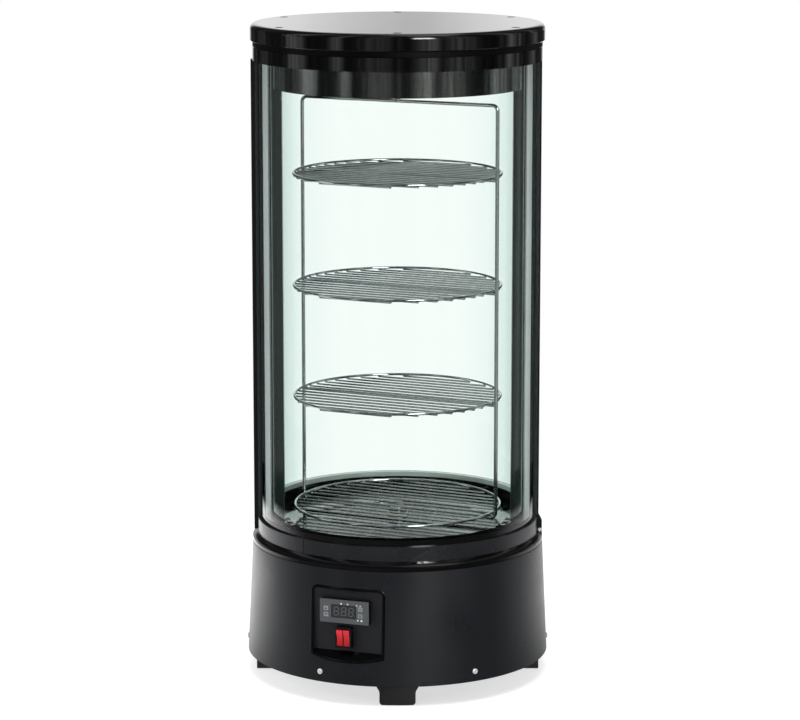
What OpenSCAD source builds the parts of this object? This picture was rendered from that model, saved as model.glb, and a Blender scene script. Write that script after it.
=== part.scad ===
// Round countertop refrigerated cake display case with a turning wire rack.
// The origin is on the floor at the vertical axis, +Z is up and the front faces -Y.

/* [Stack of heights] */
// Height of the feet
foot_h = 31; // [20:1:45]
// Height of the tapered drum skirt
skirt_h = 169; // [165:1:210]
// Height of the deck's straight rim
rim_h = 5; // [4:0.5:8]
// Height and width of the concave cove above the rim
cove = 8; // [6:0.5:10]
// Height of the front lower rail
rail_h = 21; // [19:1:30]
// Height of glass between the lower rail and the upper ring
window_h = 682.5; // [560:0.5:830]
// Height of the upper ring
ring_h = 20.7; // [17:0.1:28]
// Height of the groove band below the cap
groove_h = 7.8; // [4:0.1:12]
// Height of the top cap
cap_h = 25; // [20:1:32]

/* [Radii] */
// Outer radius of the fixed front glass
glass_r = 204; // [196:1:246]
// How far the skirt flares out towards its foot
skirt_flare = 8; // [4:0.5:12]
// How far the upper ring stands out past the lower rail
ring_lip = 3.4; // [2.4:0.2:5]
// How far the cap overhangs the upper ring
cap_lip = 3.5; // [2:0.5:6]
// How far the door's handle stile stands out past the ring
handle_proud = 3.5; // [1:0.5:5]

/* [Glass and posts] */
// Thickness of each pane
pane_t = 4; // [3:0.5:5]
// Gap between the two panes of a unit
pane_gap = 10; // [8:1:12]
// Wall of the rail and posts outside the glass
rail_wall = 4.3; // [3:0.1:6]
// Depth of the side posts inside the glass
post_depth = 16; // [12:1:20]
// Width of the side posts along the circle, in front of the centre plane
post_front = 14; // [12:1:20]
// Reach of the side posts behind the centre plane
post_back = 6; // [5:0.5:9]

/* [Rack] */
// Clearance from the side posts to the shelves
rack_gap = 14.7; // [8:0.1:25]
// Turn of the rack about the axis in its stored position
rack_turn = -25; // [-90:1:90]
// Diameter of the rack frame's wire
frame_d = 5.5; // [4:0.5:7]
// Diameter of the rack frame's cross bars
bar_d = 5; // [3:0.5:5]
// Diameter of a shelf's ring wire
ring_d = 4; // [3:0.5:5]
// Diameter of a shelf's grid wires
wire_d = 3; // [2:0.25:3.5]
// Distance between neighbouring grid wires
wire_pitch = 18.7; // [12:0.1:24]
// Distance of the first grid wire from the frame's plane
wire_first = 11.7; // [8:0.1:16]
// Height of the lowest shelf above the floor plate
shelf_low = 18.4; // [16:0.2:30]
// Drop from the frame's top bar to the highest shelf
shelf_drop = 104.6; // [60:0.2:160]
// Bend radius of the frame's corners
frame_bend = 8; // [6:1:20]

/* [Controls] */
// Angle of the control panel from the front, to the viewer's left
panel_angle = 19.7; // [10:0.1:30]
// Half width of the panel's pocket
pocket_half = 55; // [50:0.5:60]
// Height of the pocket's flat back
pocket_h = 93.5; // [88:0.5:110]
// Height of the pocket's lower edge above the skirt's foot
pocket_rise = 47; // [34:0.5:60]
// Width of the thermostat's face
stat_w = 75; // [70:0.5:80]
// Height of the thermostat's face
stat_h = 34.5; // [32:0.5:38]
// How far the thermostat and switch stand out of the panel
stat_proud = 9.5; // [5:0.5:11]
// Width of one rocker
rocker_w = 8.8; // [7:0.2:9.6]
// Height of one rocker
rocker_h = 25; // [20:0.5:27]

/* [Machine] */
// Radius of the compressor's can
comp_r = 62; // [50:1:64]
// Radius of the condenser fan's blades
fan_r = 49; // [40:1:50]
// Radius of the evaporator fan's blades
evap_fan_r = 34; // [28:1:35]
// Radius of the rack's drive shaft
shaft_r = 5; // [4:0.5:7]

/* [Hidden] */
$fn = 128;
far = 420;
fit = 0.3;
run_fit = 0.05;
sheet = 1.5;

// Heights of the stack, from the floor up
z_pan = foot_h;
z_deck = z_pan + skirt_h;
z_ledge = z_deck + rim_h;
z_step = z_ledge + cove;
z_floor = z_step + rail_h;
z_ring = z_floor + window_h;
z_groove = z_ring + ring_h;
z_cap = z_groove + groove_h;
z_top = z_cap + cap_h;
plate_t = 2;

// Radii, from the glass outwards and inwards
unit_t = 2 * pane_t + pane_gap;
glass_in = glass_r - unit_t;
rail_r = glass_r + fit + rail_wall;
step_r = rail_r + 0.4;
rim_r = step_r + cove;
skirt_r = rim_r + skirt_flare;
ring_r = rail_r + ring_lip;
cap_r = ring_r + cap_lip;
post_in = glass_in - post_depth;
floor_r = glass_in - 0.6;
ceiling_r = glass_in - 4;
shelf_out = post_in - rack_gap;
post_web = 4;
glass_cut = post_web + 0.5;

// Rack
shelf_r = shelf_out - ring_d / 2;
leg_r = shelf_out + frame_d / 2 + 0.05;
peg_r = 2.25;
peg_lap = 4;
ceiling_h = 39.5;
z_ceiling = z_ring - ceiling_h;
z_bar = z_ceiling - 22;
z_shelf_1 = z_floor + shelf_low;
shelf_count = 4;
shelf_pitch = (z_bar - shelf_drop - z_shelf_1) / (shelf_count - 1);
z_hoop = z_shelf_1 - ring_d / 2 - wire_d - frame_d / 2 - 0.05;
hub_r = 13;
pivot_r = 4;
bush_wall = 6;

// Glass seats
rail_foot = 5.5;
z_glass = z_step + rail_foot + 1;
ring_seat = 7.5;
z_glass_top = z_ring + ring_seat - 0.5;

// Door
door_r = ring_r;
door_in = door_r - unit_t;
door_gap = 2.5;
door_front = post_back + door_gap;
bracket_t = 3;
washer_t = 0.8;
z_door = z_ledge + bracket_t + washer_t + 0.2;
z_door_top = z_ring - 1;
hinge_y = door_front + 8.5;
hinge_x = door_r - 4.5;
pin_r = 2.5;
hinge_stile_w = 17;
handle_stile_w = 25.5;
stile_tongue = 6;
rail_low_h = 33;
rail_high_h = 27;
groove_r = door_r - 7;

// Controls
z_pocket = z_pan + pocket_rise;
z_pocket_top = z_pocket + pocket_h;
skirt_at_pocket_top = rim_r + skirt_flare * (z_deck - z_pocket_top) / skirt_h;
panel_d = sqrt(pow(skirt_at_pocket_top, 2) - pow(pocket_half, 2)) - 0.8;
panel_t = 1.8;
pocket_round = 9;
stat_x = -2.9;
stat_z = z_pocket + 60.1;
stat_in_w = stat_w - 4;
stat_in_h = stat_h - 5.5;
stat_depth = 55;
switch_x = -4.8;
switch_z = z_pocket + 20.8;
switch_wall = 2.3;
rocker_gap = 1.6;
rocker_side = 0.3;
switch_w = 2 * rocker_w + rocker_gap + 2 * rocker_side + 2 * switch_wall;
switch_hgt = rocker_h + 6.4;
switch_depth = 27;
rocker_tilt = 8;
trunnion_r = 1.5;
rocker_pivot_y = -stat_proud + 3;
button_w = 7.2;
button_h = 6.4;
button_travel = 0.6;
button_deep = 2.4;
window_w = 37;
window_hgt = 18;
window_x = -0.9;
window_z = 0.2;
window_deep = 1.2;
button_xs = [-28, -28, 24.9, 24.9];
button_zs = [3.6, -5.6, 5.6, -4.4];

// Machine compartment
pan_t = 2;
z_pan_top = z_pan + pan_t;
machine_r = rim_r - sheet - 1;
skirt_lip_r = rim_r - 16;
comp_x = -88 * (machine_r - comp_r - 26) / 127;
comp_y = 92 * (machine_r - comp_r - 26) / 127;
mount_h = 12;
comp_h = 112;
cond_w = 2 * fan_r + 30;
cond_t = 32;
cond_x = fan_r + 20;
cond_y = sqrt(pow(machine_r - 8, 2) - pow(cond_x + cond_w / 2, 2)) - cond_t;
cond_h = 2 * fan_r + 24;
z_cond = z_pan_top;
fan_z = z_cond + cond_h / 2;
evap_x0 = -5;
evap_x1 = 125;
evap_y1 = -46;
evap_y0 = -sqrt(pow(skirt_lip_r - 1, 2) - pow(evap_x1, 2));
evap_h = 96;
evap_wall = 10;
z_evap = z_deck - evap_h;
evap_fan_x = (evap_x0 + evap_x1) / 2;
evap_fan_y = evap_y1 - evap_wall - evap_fan_r - 3;
gear_r = 32;
gear_h = 28;
motor_r = 25;
motor_h = 38;
bush_r = shaft_r + bush_wall;
pipe_r = 3.2;
pipe_bend = 8;
gland_x = -20;
gland_z = z_pan + 29;
gland_r = 8;
gland_nut_r = 10;
gland_bore_r = 3.8;
vent_count = 21;
vent_step = 4.2;

// Radius of the skirt's outer face at height z
function skirt_at(z) = rim_r + skirt_flare * (z_deck - z) / skirt_h;

// Flat ring between two radii
module ring2d(r_in, r_out) {
    difference() {
        circle(r_out);
        circle(r_in);
    }
}

// Flat rectangle between two corners
module slab2d(x0, x1, y0, y1) {
    translate([x0, y0]) square([x1 - x0, y1 - y0]);
}

// Box between two corners
module block(x0, x1, y0, y1, z0, z1) {
    translate([x0, y0, z0]) cube([x1 - x0, y1 - y0, z1 - z0]);
}

// Upright tube between two radii and two heights
module tube(r_in, r_out, z0, z1) {
    translate([0, 0, z0]) linear_extrude(z1 - z0) ring2d(r_in, r_out);
}

// Curved wall between two radii, cut flat along planes of constant y
module band(r_in, r_out, y0, y1, z0, z1) {
    translate([0, 0, z0]) linear_extrude(z1 - z0) intersection() {
        ring2d(r_in, r_out);
        slab2d(-far, far, y0, y1);
    }
}

// The same, on one side of the centre plane only
module side_band(r_in, r_out, side, y0, y1, z0, z1) {
    translate([0, 0, z0]) linear_extrude(z1 - z0) intersection() {
        ring2d(r_in, r_out);
        slab2d(side > 0 ? 0 : -far, side > 0 ? far : 0, y0, y1);
    }
}

// Upright can with rounded edges
module can(r, z0, z1, edge) {
    translate([0, 0, z0]) rotate_extrude() {
        square([r - edge, z1 - z0]);
        translate([0, edge]) square([r, z1 - z0 - 2 * edge]);
        translate([r - edge, edge]) circle(edge);
        translate([r - edge, z1 - z0 - edge]) circle(edge);
    }
}

// Flat rectangle with round corners
module round_rect(x0, x1, y0, y1, r) {
    slab2d(x0 + r, x1 - r, y0, y1);
    slab2d(x0, x1, y0 + r, y1 - r);
    for (x = [x0 + r, x1 - r], y = [y0 + r, y1 - r]) translate([x, y]) circle(r);
}

// Pan-head screw along +X, with its head's underside at the origin
module pan_screw(d, length) {
    head_t = 0.65 * d;
    dome_r = 1.6 * d;
    rotate([0, 90, 0]) rotate_extrude() {
        intersection() {
            square([d, head_t]);
            translate([0, head_t - dome_r]) circle(dome_r);
        }
        translate([0, -length]) square([d / 2, length + 0.1]);
    }
}

// Round pipe through a list of points, with bends of radius rb at the inner ones
module pipe(points, r, rb) {
    last = len(points) - 1;
    for (i = [0 : last - 1]) {
        d = (points[i + 1] - points[i]) / norm(points[i + 1] - points[i]);
        a = points[i] + (i > 0 ? rb : 0) * d;
        b = points[i + 1] - (i < last - 1 ? rb : 0) * d;
        translate(a) rotate([0, acos(d[2]), atan2(d[1], d[0])]) cylinder(r = r, h = norm(b - a));
    }
    for (i = [1 : last - 1]) {
        u = (points[i] - points[i - 1]) / norm(points[i] - points[i - 1]);
        v = (points[i + 1] - points[i]) / norm(points[i + 1] - points[i]);
        w = cross(u, v);
        c = points[i] - rb * u + rb * v;
        multmatrix([[-v[0], u[0], w[0], c[0]], [-v[1], u[1], w[1], c[1]], [-v[2], u[2], w[2], c[2]],
            [0, 0, 0, 1]]) rotate_extrude(angle = 90) translate([rb, 0]) circle(r);
    }
}

// Frame of the control panel: x to the viewer's right, -y outwards, z up
module on_panel() {
    rotate([0, 0, -panel_angle]) translate([0, -panel_d, 0]) children();
}

// Pocket of the control panel, grown by a wall
module pocket(grow) {
    slope = grow * sqrt(2);
    intersection() {
        on_panel() translate([0, 20, 0]) rotate([90, 0, 0]) linear_extrude(80)
            round_rect(-pocket_half - grow, pocket_half + grow, z_pocket - 13 - grow,
                z_pocket_top + grow, pocket_round + grow);
        on_panel() rotate([90, 0, 90]) linear_extrude(4 * pocket_half, center = true)
            polygon([[grow, z_pocket + grow - slope], [-60, z_pocket - 60 - slope],
                [-60, z_pocket_top + 60], [grow, z_pocket_top + 60]]);
    }
}

// Solid of the skirt's outer cone, less an offset
module skirt_cone(less) {
    rotate_extrude() polygon([[0, z_pan], [skirt_r - less, z_pan], [rim_r - less, z_deck], [0, z_deck]]);
}

// Places of the screws round the skirt's foot
skirt_screw_z = z_pan + 15;
skirt_screw_d = 4;
bracket_screw_d = 3;
screw_fit = 0.1;
skirt_screw_tilt = atan(skirt_flare / skirt_h);
module at_skirt_screws() {
    for (a = [-150, -90, -30, 30, 90, 150])
        rotate([0, 0, a - 90]) translate([skirt_at(skirt_screw_z), 0, skirt_screw_z])
            rotate([0, -skirt_screw_tilt, 0]) children();
}

// Place of the screw in the hinge bracket's front face
module at_bracket_screw() {
    translate([step_r + 4, -post_back - 0.05, z_ledge + 6]) rotate([0, 0, -90]) children();
}

// Space that the side posts take out of the floor and the ceiling
module post_notches(z0, z1) {
    for (side = [-1, 1])
        side_band(post_in - fit, far / 2 + 100, side, -post_front - fit, post_back + fit, z0, z1);
}

// Plan of one side post, on the viewer's right
module post_section(outer) {
    difference() {
        union() {
            if (outer) intersection() {
                ring2d(glass_r + fit, rail_r);
                slab2d(0, far, -post_front, post_back);
            }
            intersection() {
                ring2d(glass_in - 6, outer ? rail_r : glass_r + fit + 1);
                slab2d(0, far, -post_web, post_back);
            }
            intersection() {
                ring2d(post_in, glass_in - fit);
                slab2d(0, far, -post_front, post_back);
            }
        }
        intersection() {
            ring2d(post_in + 2, glass_in - 8);
            slab2d(0, far, -post_front + 2, post_back - 2);
        }
    }
}

// Base

foot_top_w = 60;
foot_low_w = 52.5;
foot_in = 165;
foot_out = rim_r - 4;
foot_sweep = 12;
foot_flange = 14;
module feet() {
    color("#1b1c1e")
    for (a = [0, 90, 180, 270]) rotate([0, 0, a]) intersection() {
        translate([0, -foot_in, 0]) rotate([90, 0, 0]) linear_extrude(foot_out - foot_in + 10)
            difference() {
                union() {
                    round_rect(-foot_low_w / 2, foot_low_w / 2, 0, foot_h, 5);
                    slab2d(-foot_top_w / 2, foot_top_w / 2, foot_h - foot_flange, foot_h);
                }
                for (s = [-1, 1]) translate([s * (foot_low_w / 2 + foot_sweep), foot_h - foot_flange])
                    circle(foot_sweep);
            }
        cylinder(r = foot_out, h = foot_h);
    }
}

pan_flange_h = 27;
module base_pan() {
    flange_low = skirt_at(z_pan) - sheet - 0.2;
    flange_high = skirt_at(z_pan + pan_flange_h) - sheet - 0.2;
    color("#4a4c50")
    difference() {
        union() {
            translate([0, 0, z_pan]) cylinder(r = flange_low - 1.5, h = pan_t);
            rotate_extrude() polygon([[flange_low - sheet, z_pan], [flange_low, z_pan],
                [flange_high, z_pan + pan_flange_h], [flange_high - sheet, z_pan + pan_flange_h]]);
        }
        at_skirt_screws() rotate([0, 90, 0])
            cylinder(r = skirt_screw_d / 2 + screw_fit, h = 20, center = true);
        for (i = [-4 : 4]) block(i * 12 - 3, i * 12 + 3, -10, 60, z_pan - 1, z_pan_top + 1);
        translate([gland_x, 0, gland_z]) rotate([-90, 0, 0]) cylinder(r = gland_nut_r + 1, h = far);
    }
}

module base_skirt() {
    color("#202124")
    difference() {
        rotate_extrude() polygon([[skirt_r - sheet, z_pan], [skirt_r, z_pan],
            [skirt_at(z_deck - 1.2), z_deck - 1.2], [rim_r - 1.2, z_deck], [skirt_lip_r, z_deck],
            [skirt_lip_r, z_deck - sheet], [rim_r - sheet, z_deck - sheet]]);
        pocket(panel_t + 0.3);
        at_skirt_screws() rotate([0, 90, 0])
            cylinder(r = skirt_screw_d / 2 + screw_fit, h = 20, center = true);
        for (i = [0 : vent_count - 1], z = [z_pan + 40, z_pan + 96])
            rotate([0, 0, 90 + (i - (vent_count - 1) / 2) * vent_step])
                block(rim_r - 20, skirt_r + 10, -2, 2, z, z + 44);
        translate([gland_x, 0, gland_z]) rotate([-90, 0, 0]) cylinder(r = gland_r + 0.2, h = far);
    }
}

module pan_screws() {
    color("silver") {
        at_skirt_screws() translate([0.1, 0, 0]) pan_screw(skirt_screw_d, 8);
        at_bracket_screw() pan_screw(bracket_screw_d, 5);
    }
}

module mains_gland() {
    y = sqrt(pow(skirt_at(gland_z), 2) - pow(gland_x, 2));
    color("#18191a")
    translate([gland_x, 0, gland_z]) rotate([-90, 0, 0]) difference() {
        union() {
            translate([0, 0, y - 22]) cylinder(r = gland_r, h = 23);
            translate([0, 0, y + 0.9]) cylinder(r = gland_nut_r, h = 1.4);
            translate([0, 0, y - 8]) cylinder(r = gland_nut_r, h = 3);
        }
        translate([0, 0, y - 30]) cylinder(r = gland_bore_r, h = 60);
    }
}

box_depth = 34;
module terminal_box() {
    y1 = sqrt(pow(machine_r - 8, 2) - 45 * 45) - 14;
    color("#c9cbcd") difference() {
        union() {
            block(-53, -7, y1 - box_depth, y1, z_pan_top, z_pan_top + 58);
            block(-57, -3, y1 - box_depth - 2, y1 + 2, z_pan_top + 58, z_pan_top + 61);
        }
        for (x = [-43, -30, -17]) translate([x, y1 - box_depth - 1, z_pan_top + 44])
            rotate([-90, 0, 0]) cylinder(r = 4, h = 9);
    }
}

module at_compressor() {
    translate([comp_x, comp_y, 0]) children();
}

z_can = z_pan_top + mount_h + 3;
plate_half = 56;
module at_mounts() {
    for (x = [-1, 1], y = [-1, 1])
        translate([x * (plate_half - 10), y * (plate_half - 10), z_pan_top]) children();
}

module compressor() {
    color("#26282b") at_compressor() {
        can(comp_r, z_can, z_can + comp_h, 22);
        tube(comp_r - 6, comp_r + 2.5, z_can + 48, z_can + 52);
        difference() {
            translate([0, 0, z_can - 3]) linear_extrude(3.5)
                round_rect(-plate_half, plate_half, -plate_half, plate_half, 14);
            at_mounts() cylinder(r = 6.3, h = far);
        }
        translate([0, 0, z_can - 0.2]) cylinder(r = 40, h = 10);
        translate([20, -comp_r - 2, z_can + 60]) cube([34, 24, 40], center = true);
    }
}

module compressor_mounts() {
    color("#151515") at_compressor() at_mounts()
        difference() {
            union() {
                cylinder(r = 10, h = mount_h);
                cylinder(r = 6, h = mount_h + 5.5);
                translate([0, 0, mount_h + 3.5]) cylinder(r = 9, h = 3);
            }
            translate([0, 0, -1]) cylinder(r = 3, h = mount_h + 20);
        }
}

fin_t = 0.8;
fin_pitch = 6;
module condenser_coil() {
    x0 = cond_x - cond_w / 2;
    x1 = cond_x + cond_w / 2;
    tube_zs = [for (i = [0 : 4]) z_cond + 12 + i * (cond_h - 24) / 4];
    color("#8f6a4a") {
        for (z = tube_zs) translate([x0, cond_y + cond_t / 2, z]) rotate([0, 90, 0])
            cylinder(r = 4, h = cond_w);
        for (x = [x0 : fin_pitch : x1])
            block(x, x + fin_t, cond_y + 3, cond_y + cond_t - 3, z_cond + 2, z_cond + cond_h - 2);
        for (x = [x0 - 1.5, x1]) block(x, x + 1.5, cond_y, cond_y + cond_t, z_cond, z_cond + cond_h);
    }
}

motor_arm = 5;
cond_shaft_r = 2.5;
module condenser_fan_housing() {
    x0 = cond_x - cond_w / 2;
    x1 = cond_x + cond_w / 2;
    color("#3a3c40") difference() {
        union() {
            block(x0, x1, cond_y - 1.5, cond_y, z_cond, z_cond + cond_h);
            translate([cond_x, cond_y - 22, fan_z]) rotate([-90, 0, 0]) cylinder(r = fan_r + 4, h = 21);
        }
        translate([cond_x, cond_y - 30, fan_z]) rotate([-90, 0, 0]) cylinder(r = fan_r + 2, h = 40);
    }
    color("#55585c") difference() {
        union() {
            translate([cond_x, cond_y - 46, fan_z]) rotate([-90, 0, 0]) cylinder(r = 19, h = 26);
            for (a = [45 : 90 : 315]) translate([cond_x, cond_y - 22, fan_z]) rotate([0, a, 0])
                block(-motor_arm / 2, motor_arm / 2, 0, 2, 15, fan_r + 3);
        }
        translate([cond_x, cond_y - 40, fan_z]) rotate([-90, 0, 0])
            cylinder(r = cond_shaft_r + run_fit, h = 40);
    }
}

// Fan along +Z: hub, shaft and pitched blades
module fan_wheel(r, hub, depth, shaft, shaft_len) {
    difference() {
        union() {
            cylinder(r = hub, h = depth);
            for (a = [0 : 72 : 288]) rotate([0, 0, a]) translate([0, 0, depth / 2])
                rotate([32, 0, 0]) translate([0, 0, -0.8]) linear_extrude(1.6) intersection() {
                    polygon([[hub - 3, -5], [r * 0.7, -r * 0.2], [r * 0.98, -r * 0.16],
                        [r * 0.96, r * 0.2], [r * 0.6, r * 0.18], [hub - 3, 6]]);
                    circle(r - 0.5);
                }
        }
        translate([0, 0, depth]) sphere(1);
    }
    translate([0, 0, -shaft_len]) cylinder(r = shaft, h = shaft_len + 1);
}

module condenser_fan() {
    color("#c8ccd0") translate([cond_x, cond_y - 17, fan_z]) rotate([-90, 0, 0])
        fan_wheel(fan_r, 14, 12, cond_shaft_r, 18);
}

module refrigerant_lines() {
    comp_top = z_can + comp_h + 0.02;
    z_high = z_deck - 12;
    drier_y = evap_y1 + 18;
    color("#b8703c") {
        pipe([[comp_x + 30, comp_y + 10, comp_top], [comp_x + 30, comp_y + 10, z_high],
            [cond_x - cond_w / 2 - 10, comp_y + 10, z_high],
            [cond_x - cond_w / 2 - 10, cond_y + cond_t / 2, z_high],
            [cond_x - cond_w / 2 - 10, cond_y + cond_t / 2, z_cond + cond_h - 12],
            [cond_x - cond_w / 2 - 1.7, cond_y + cond_t / 2, z_cond + cond_h - 12]], pipe_r, pipe_bend);
        pipe([[comp_x - 30, comp_y - 10, comp_top], [comp_x - 30, comp_y - 10, z_high],
            [comp_x - 30, evap_y1 - 20, z_high], [evap_x0 - 0.2, evap_y1 - 20, z_high]], pipe_r, pipe_bend);
        pipe([[cond_x + cond_w / 2 + 1.7, cond_y + cond_t / 2, z_cond + 12],
            [cond_x + cond_w / 2 + 10, cond_y + cond_t / 2, z_cond + 12],
            [cond_x + cond_w / 2 + 10, drier_y, z_cond + 12],
            [cond_x + 10, drier_y, z_cond + 12]], pipe_r, pipe_bend);
        translate([cond_x - 50, drier_y, z_cond + 12]) rotate([0, 90, 0]) can(9, 0, 62, 4);
        pipe([[cond_x - 48, drier_y, z_cond + 12], [cond_x - 60, drier_y, z_cond + 12],
            [cond_x - 60, evap_y1 + 8, z_cond + 12], [cond_x - 60, evap_y1 + 8, z_evap + 14],
            [cond_x - 60, evap_y1 + 0.2, z_evap + 14]], 1.6, 3);
    }
}

evap_lip = 6;
module evaporator_box() {
    color("#d8dadb") difference() {
        union() {
            block(evap_x0, evap_x1, evap_y0, evap_y1, z_evap, z_deck);
            block(evap_x0 - evap_lip, evap_x1, evap_y0, evap_y1 + evap_lip, z_deck - 3, z_deck);
        }
        block(evap_x0 + evap_wall, evap_x1 - evap_wall, evap_y0 + evap_wall, evap_y1 - evap_wall,
            z_evap + evap_wall, z_deck + 1);
    }
}

module evaporator_coil() {
    x0 = evap_x0 + evap_wall + 5;
    x1 = evap_x1 - evap_wall - 5;
    y0 = evap_y0 + evap_wall + 0.5;
    y1 = evap_fan_y - evap_fan_r - 5;
    z0 = z_evap + evap_wall;
    z1 = z_deck - 16;
    color("#b9bdc0") {
        for (z = [z0 + 12 : 22 : z1 - 6]) translate([x0 - 4, (y0 + y1) / 2, z]) rotate([0, 90, 0])
            cylinder(r = 4, h = x1 - x0 + 8);
        for (x = [x0 : fin_pitch : x1]) block(x, x + fin_t, y0, y1, z0, z1);
    }
}

fan_plate_z = z_deck - 10;
evap_shaft_r = 2;
module evaporator_fan_plate() {
    color("#6d7174") difference() {
        union() {
            block(evap_x0 + evap_wall + 0.2, evap_x1 - evap_wall - 0.2, evap_fan_y - evap_fan_r - 2.5,
                evap_y1 - evap_wall - 0.2, fan_plate_z, fan_plate_z + 1.5);
            for (x = [evap_x0 + evap_wall + 0.2, evap_x1 - evap_wall - 3.2])
                block(x, x + 3, evap_fan_y - 10, evap_fan_y + 10, fan_plate_z - 40, fan_plate_z);
            block(evap_x0 + evap_wall + 0.2, evap_x1 - evap_wall - 0.2, evap_fan_y - 6, evap_fan_y + 6,
                fan_plate_z - 40, fan_plate_z - 38);
            translate([evap_fan_x, evap_fan_y, fan_plate_z - 58]) cylinder(r = 16, h = 28);
        }
        translate([evap_fan_x, evap_fan_y, fan_plate_z - 2]) cylinder(r = evap_fan_r + 1.5, h = 6);
        translate([evap_fan_x, evap_fan_y, fan_plate_z - 50]) cylinder(r = evap_shaft_r + run_fit, h = 60);
    }
}

module evaporator_fan() {
    color("#e3e6e8") translate([evap_fan_x, evap_fan_y, fan_plate_z - 16])
        fan_wheel(evap_fan_r, 11, 10, evap_shaft_r, 30);
}

gear_plate_t = 4;
gear_half = 45;
gear_bore = 14;
bush_flange_t = 3;
module rack_gearmotor() {
    z1 = z_deck - gear_plate_t;
    color("#7b7f83") difference() {
        union() {
            translate([0, 0, z1]) linear_extrude(gear_plate_t) difference() {
                round_rect(-gear_half, gear_half, -gear_r - 4, gear_half, 8);
                for (x = [-1, 1], y = [-gear_r + 5, gear_half - 9])
                    translate([x * (gear_half - 9), y]) circle(2.3);
            }
            translate([0, 0, z1 - gear_h]) cylinder(r = gear_r, h = gear_h + 0.5);
            can(motor_r, z1 - gear_h - motor_h, z1 - gear_h + 4, 3.5);
        }
        translate([0, 0, z1 - gear_bore]) cylinder(r = shaft_r + run_fit, h = 40);
    }
}

module drive_shaft() {
    z_low = z_deck - gear_plate_t - gear_bore + 0.2;
    z_hub = z_floor + bush_flange_t + 0.2;
    color("#c4c7ca") difference() {
        union() {
            translate([0, 0, z_low]) cylinder(r = shaft_r, h = z_hub + 3 - z_low);
            translate([0, 0, z_hub]) cylinder(r = hub_r, h = z_hoop + frame_d / 2 - z_hub);
        }
        rotate([0, 0, rack_turn]) block(-far, far, -frame_d / 2 - 0.05, frame_d / 2 + 0.05,
            z_hoop - frame_d / 2 - 0.05, z_hoop + 20);
    }
}

module rack_bushes() {
    color("#e8e4d4") {
        difference() {
            union() {
                translate([0, 0, z_deck + 0.2]) cylinder(r = bush_r, h = z_floor - z_deck);
                translate([0, 0, z_floor]) cylinder(r = bush_r + 4, h = bush_flange_t);
            }
            translate([0, 0, z_deck - 5]) cylinder(r = shaft_r + run_fit, h = 80);
        }
        difference() {
            union() {
                translate([0, 0, z_ceiling - bush_flange_t]) cylinder(r = pivot_r + 10, h = bush_flange_t);
                translate([0, 0, z_ceiling - 1]) cylinder(r = pivot_r + 5, h = 15);
            }
            translate([0, 0, z_ceiling - 10]) cylinder(r = pivot_r + run_fit, h = 40);
        }
    }
}

// Controls

panel_lap = 7;
module control_panel() {
    color("#26272a") difference() {
        union() {
            intersection() {
                pocket(panel_t);
                skirt_cone(0.05);
            }
            intersection() {
                pocket(panel_t + panel_lap);
                difference() {
                    skirt_cone(sheet + 0.2);
                    skirt_cone(sheet + 1.7);
                }
                translate([0, 0, z_pan + 30]) cylinder(r = far, h = skirt_h - 30 - sheet - 1);
            }
        }
        pocket(0);
        on_panel() block(stat_x - stat_in_w / 2 - fit, stat_x + stat_in_w / 2 + fit, -5, 10,
            stat_z - stat_in_h / 2 - fit, stat_z + stat_in_h / 2 + fit);
        on_panel() block(switch_x - switch_w / 2 + 1.2, switch_x + switch_w / 2 - 1.2, -5, 10,
            switch_z - switch_hgt / 2 + 1.2, switch_z + switch_hgt / 2 - 1.2);
    }
}

module thermostat() {
    color("#5b5e61") on_panel() translate([stat_x, 0, stat_z]) difference() {
        union() {
            rotate([90, 0, 0]) linear_extrude(stat_proud)
                round_rect(-stat_w / 2, stat_w / 2, -stat_h / 2, stat_h / 2, 1);
            block(-stat_in_w / 2, stat_in_w / 2, -0.2, stat_depth, -stat_in_h / 2, stat_in_h / 2);
        }
        translate([window_x, 0, window_z]) block(-window_w / 2, window_w / 2, -stat_proud - 1,
            -stat_proud + window_deep, -window_hgt / 2, window_hgt / 2);
        for (i = [0 : 3]) translate([button_xs[i], 0, button_zs[i]])
            block(-button_w / 2 - 0.2, button_w / 2 + 0.2, -stat_proud - 1,
                -stat_proud + button_deep + button_travel + 0.2, -button_h / 2 - 0.2, button_h / 2 + 0.2);
    }
}

module display_window() {
    color("#24282a") on_panel() translate([stat_x + window_x, 0, stat_z + window_z])
        block(-window_w / 2 + 0.1, window_w / 2 - 0.1, -stat_proud, -stat_proud + window_deep,
            -window_hgt / 2 + 0.1, window_hgt / 2 - 0.1);
}

// Push button with bevelled face, number i
module button(i) {
    on_panel() translate([stat_x + button_xs[i], 0, stat_z + button_zs[i]])
        rotate([90, 0, 0]) translate([0, 0, stat_proud - button_deep]) {
            linear_extrude(button_deep + button_travel - 0.3)
                round_rect(-button_w / 2, button_w / 2, -button_h / 2, button_h / 2, 0.8);
            linear_extrude(button_deep + button_travel)
                round_rect(0.4 - button_w / 2, button_w / 2 - 0.4,
                    0.4 - button_h / 2, button_h / 2 - 0.4, 0.6);
        }
}

module button_up() {
    color("#85888b") button(0);
}

module button_down() {
    color("#85888b") button(1);
}

module button_set() {
    color("#85888b") button(2);
}

module button_defrost() {
    color("#85888b") button(3);
}

function rocker_x(side) = switch_x + side * (rocker_w + rocker_gap) / 2;

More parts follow.
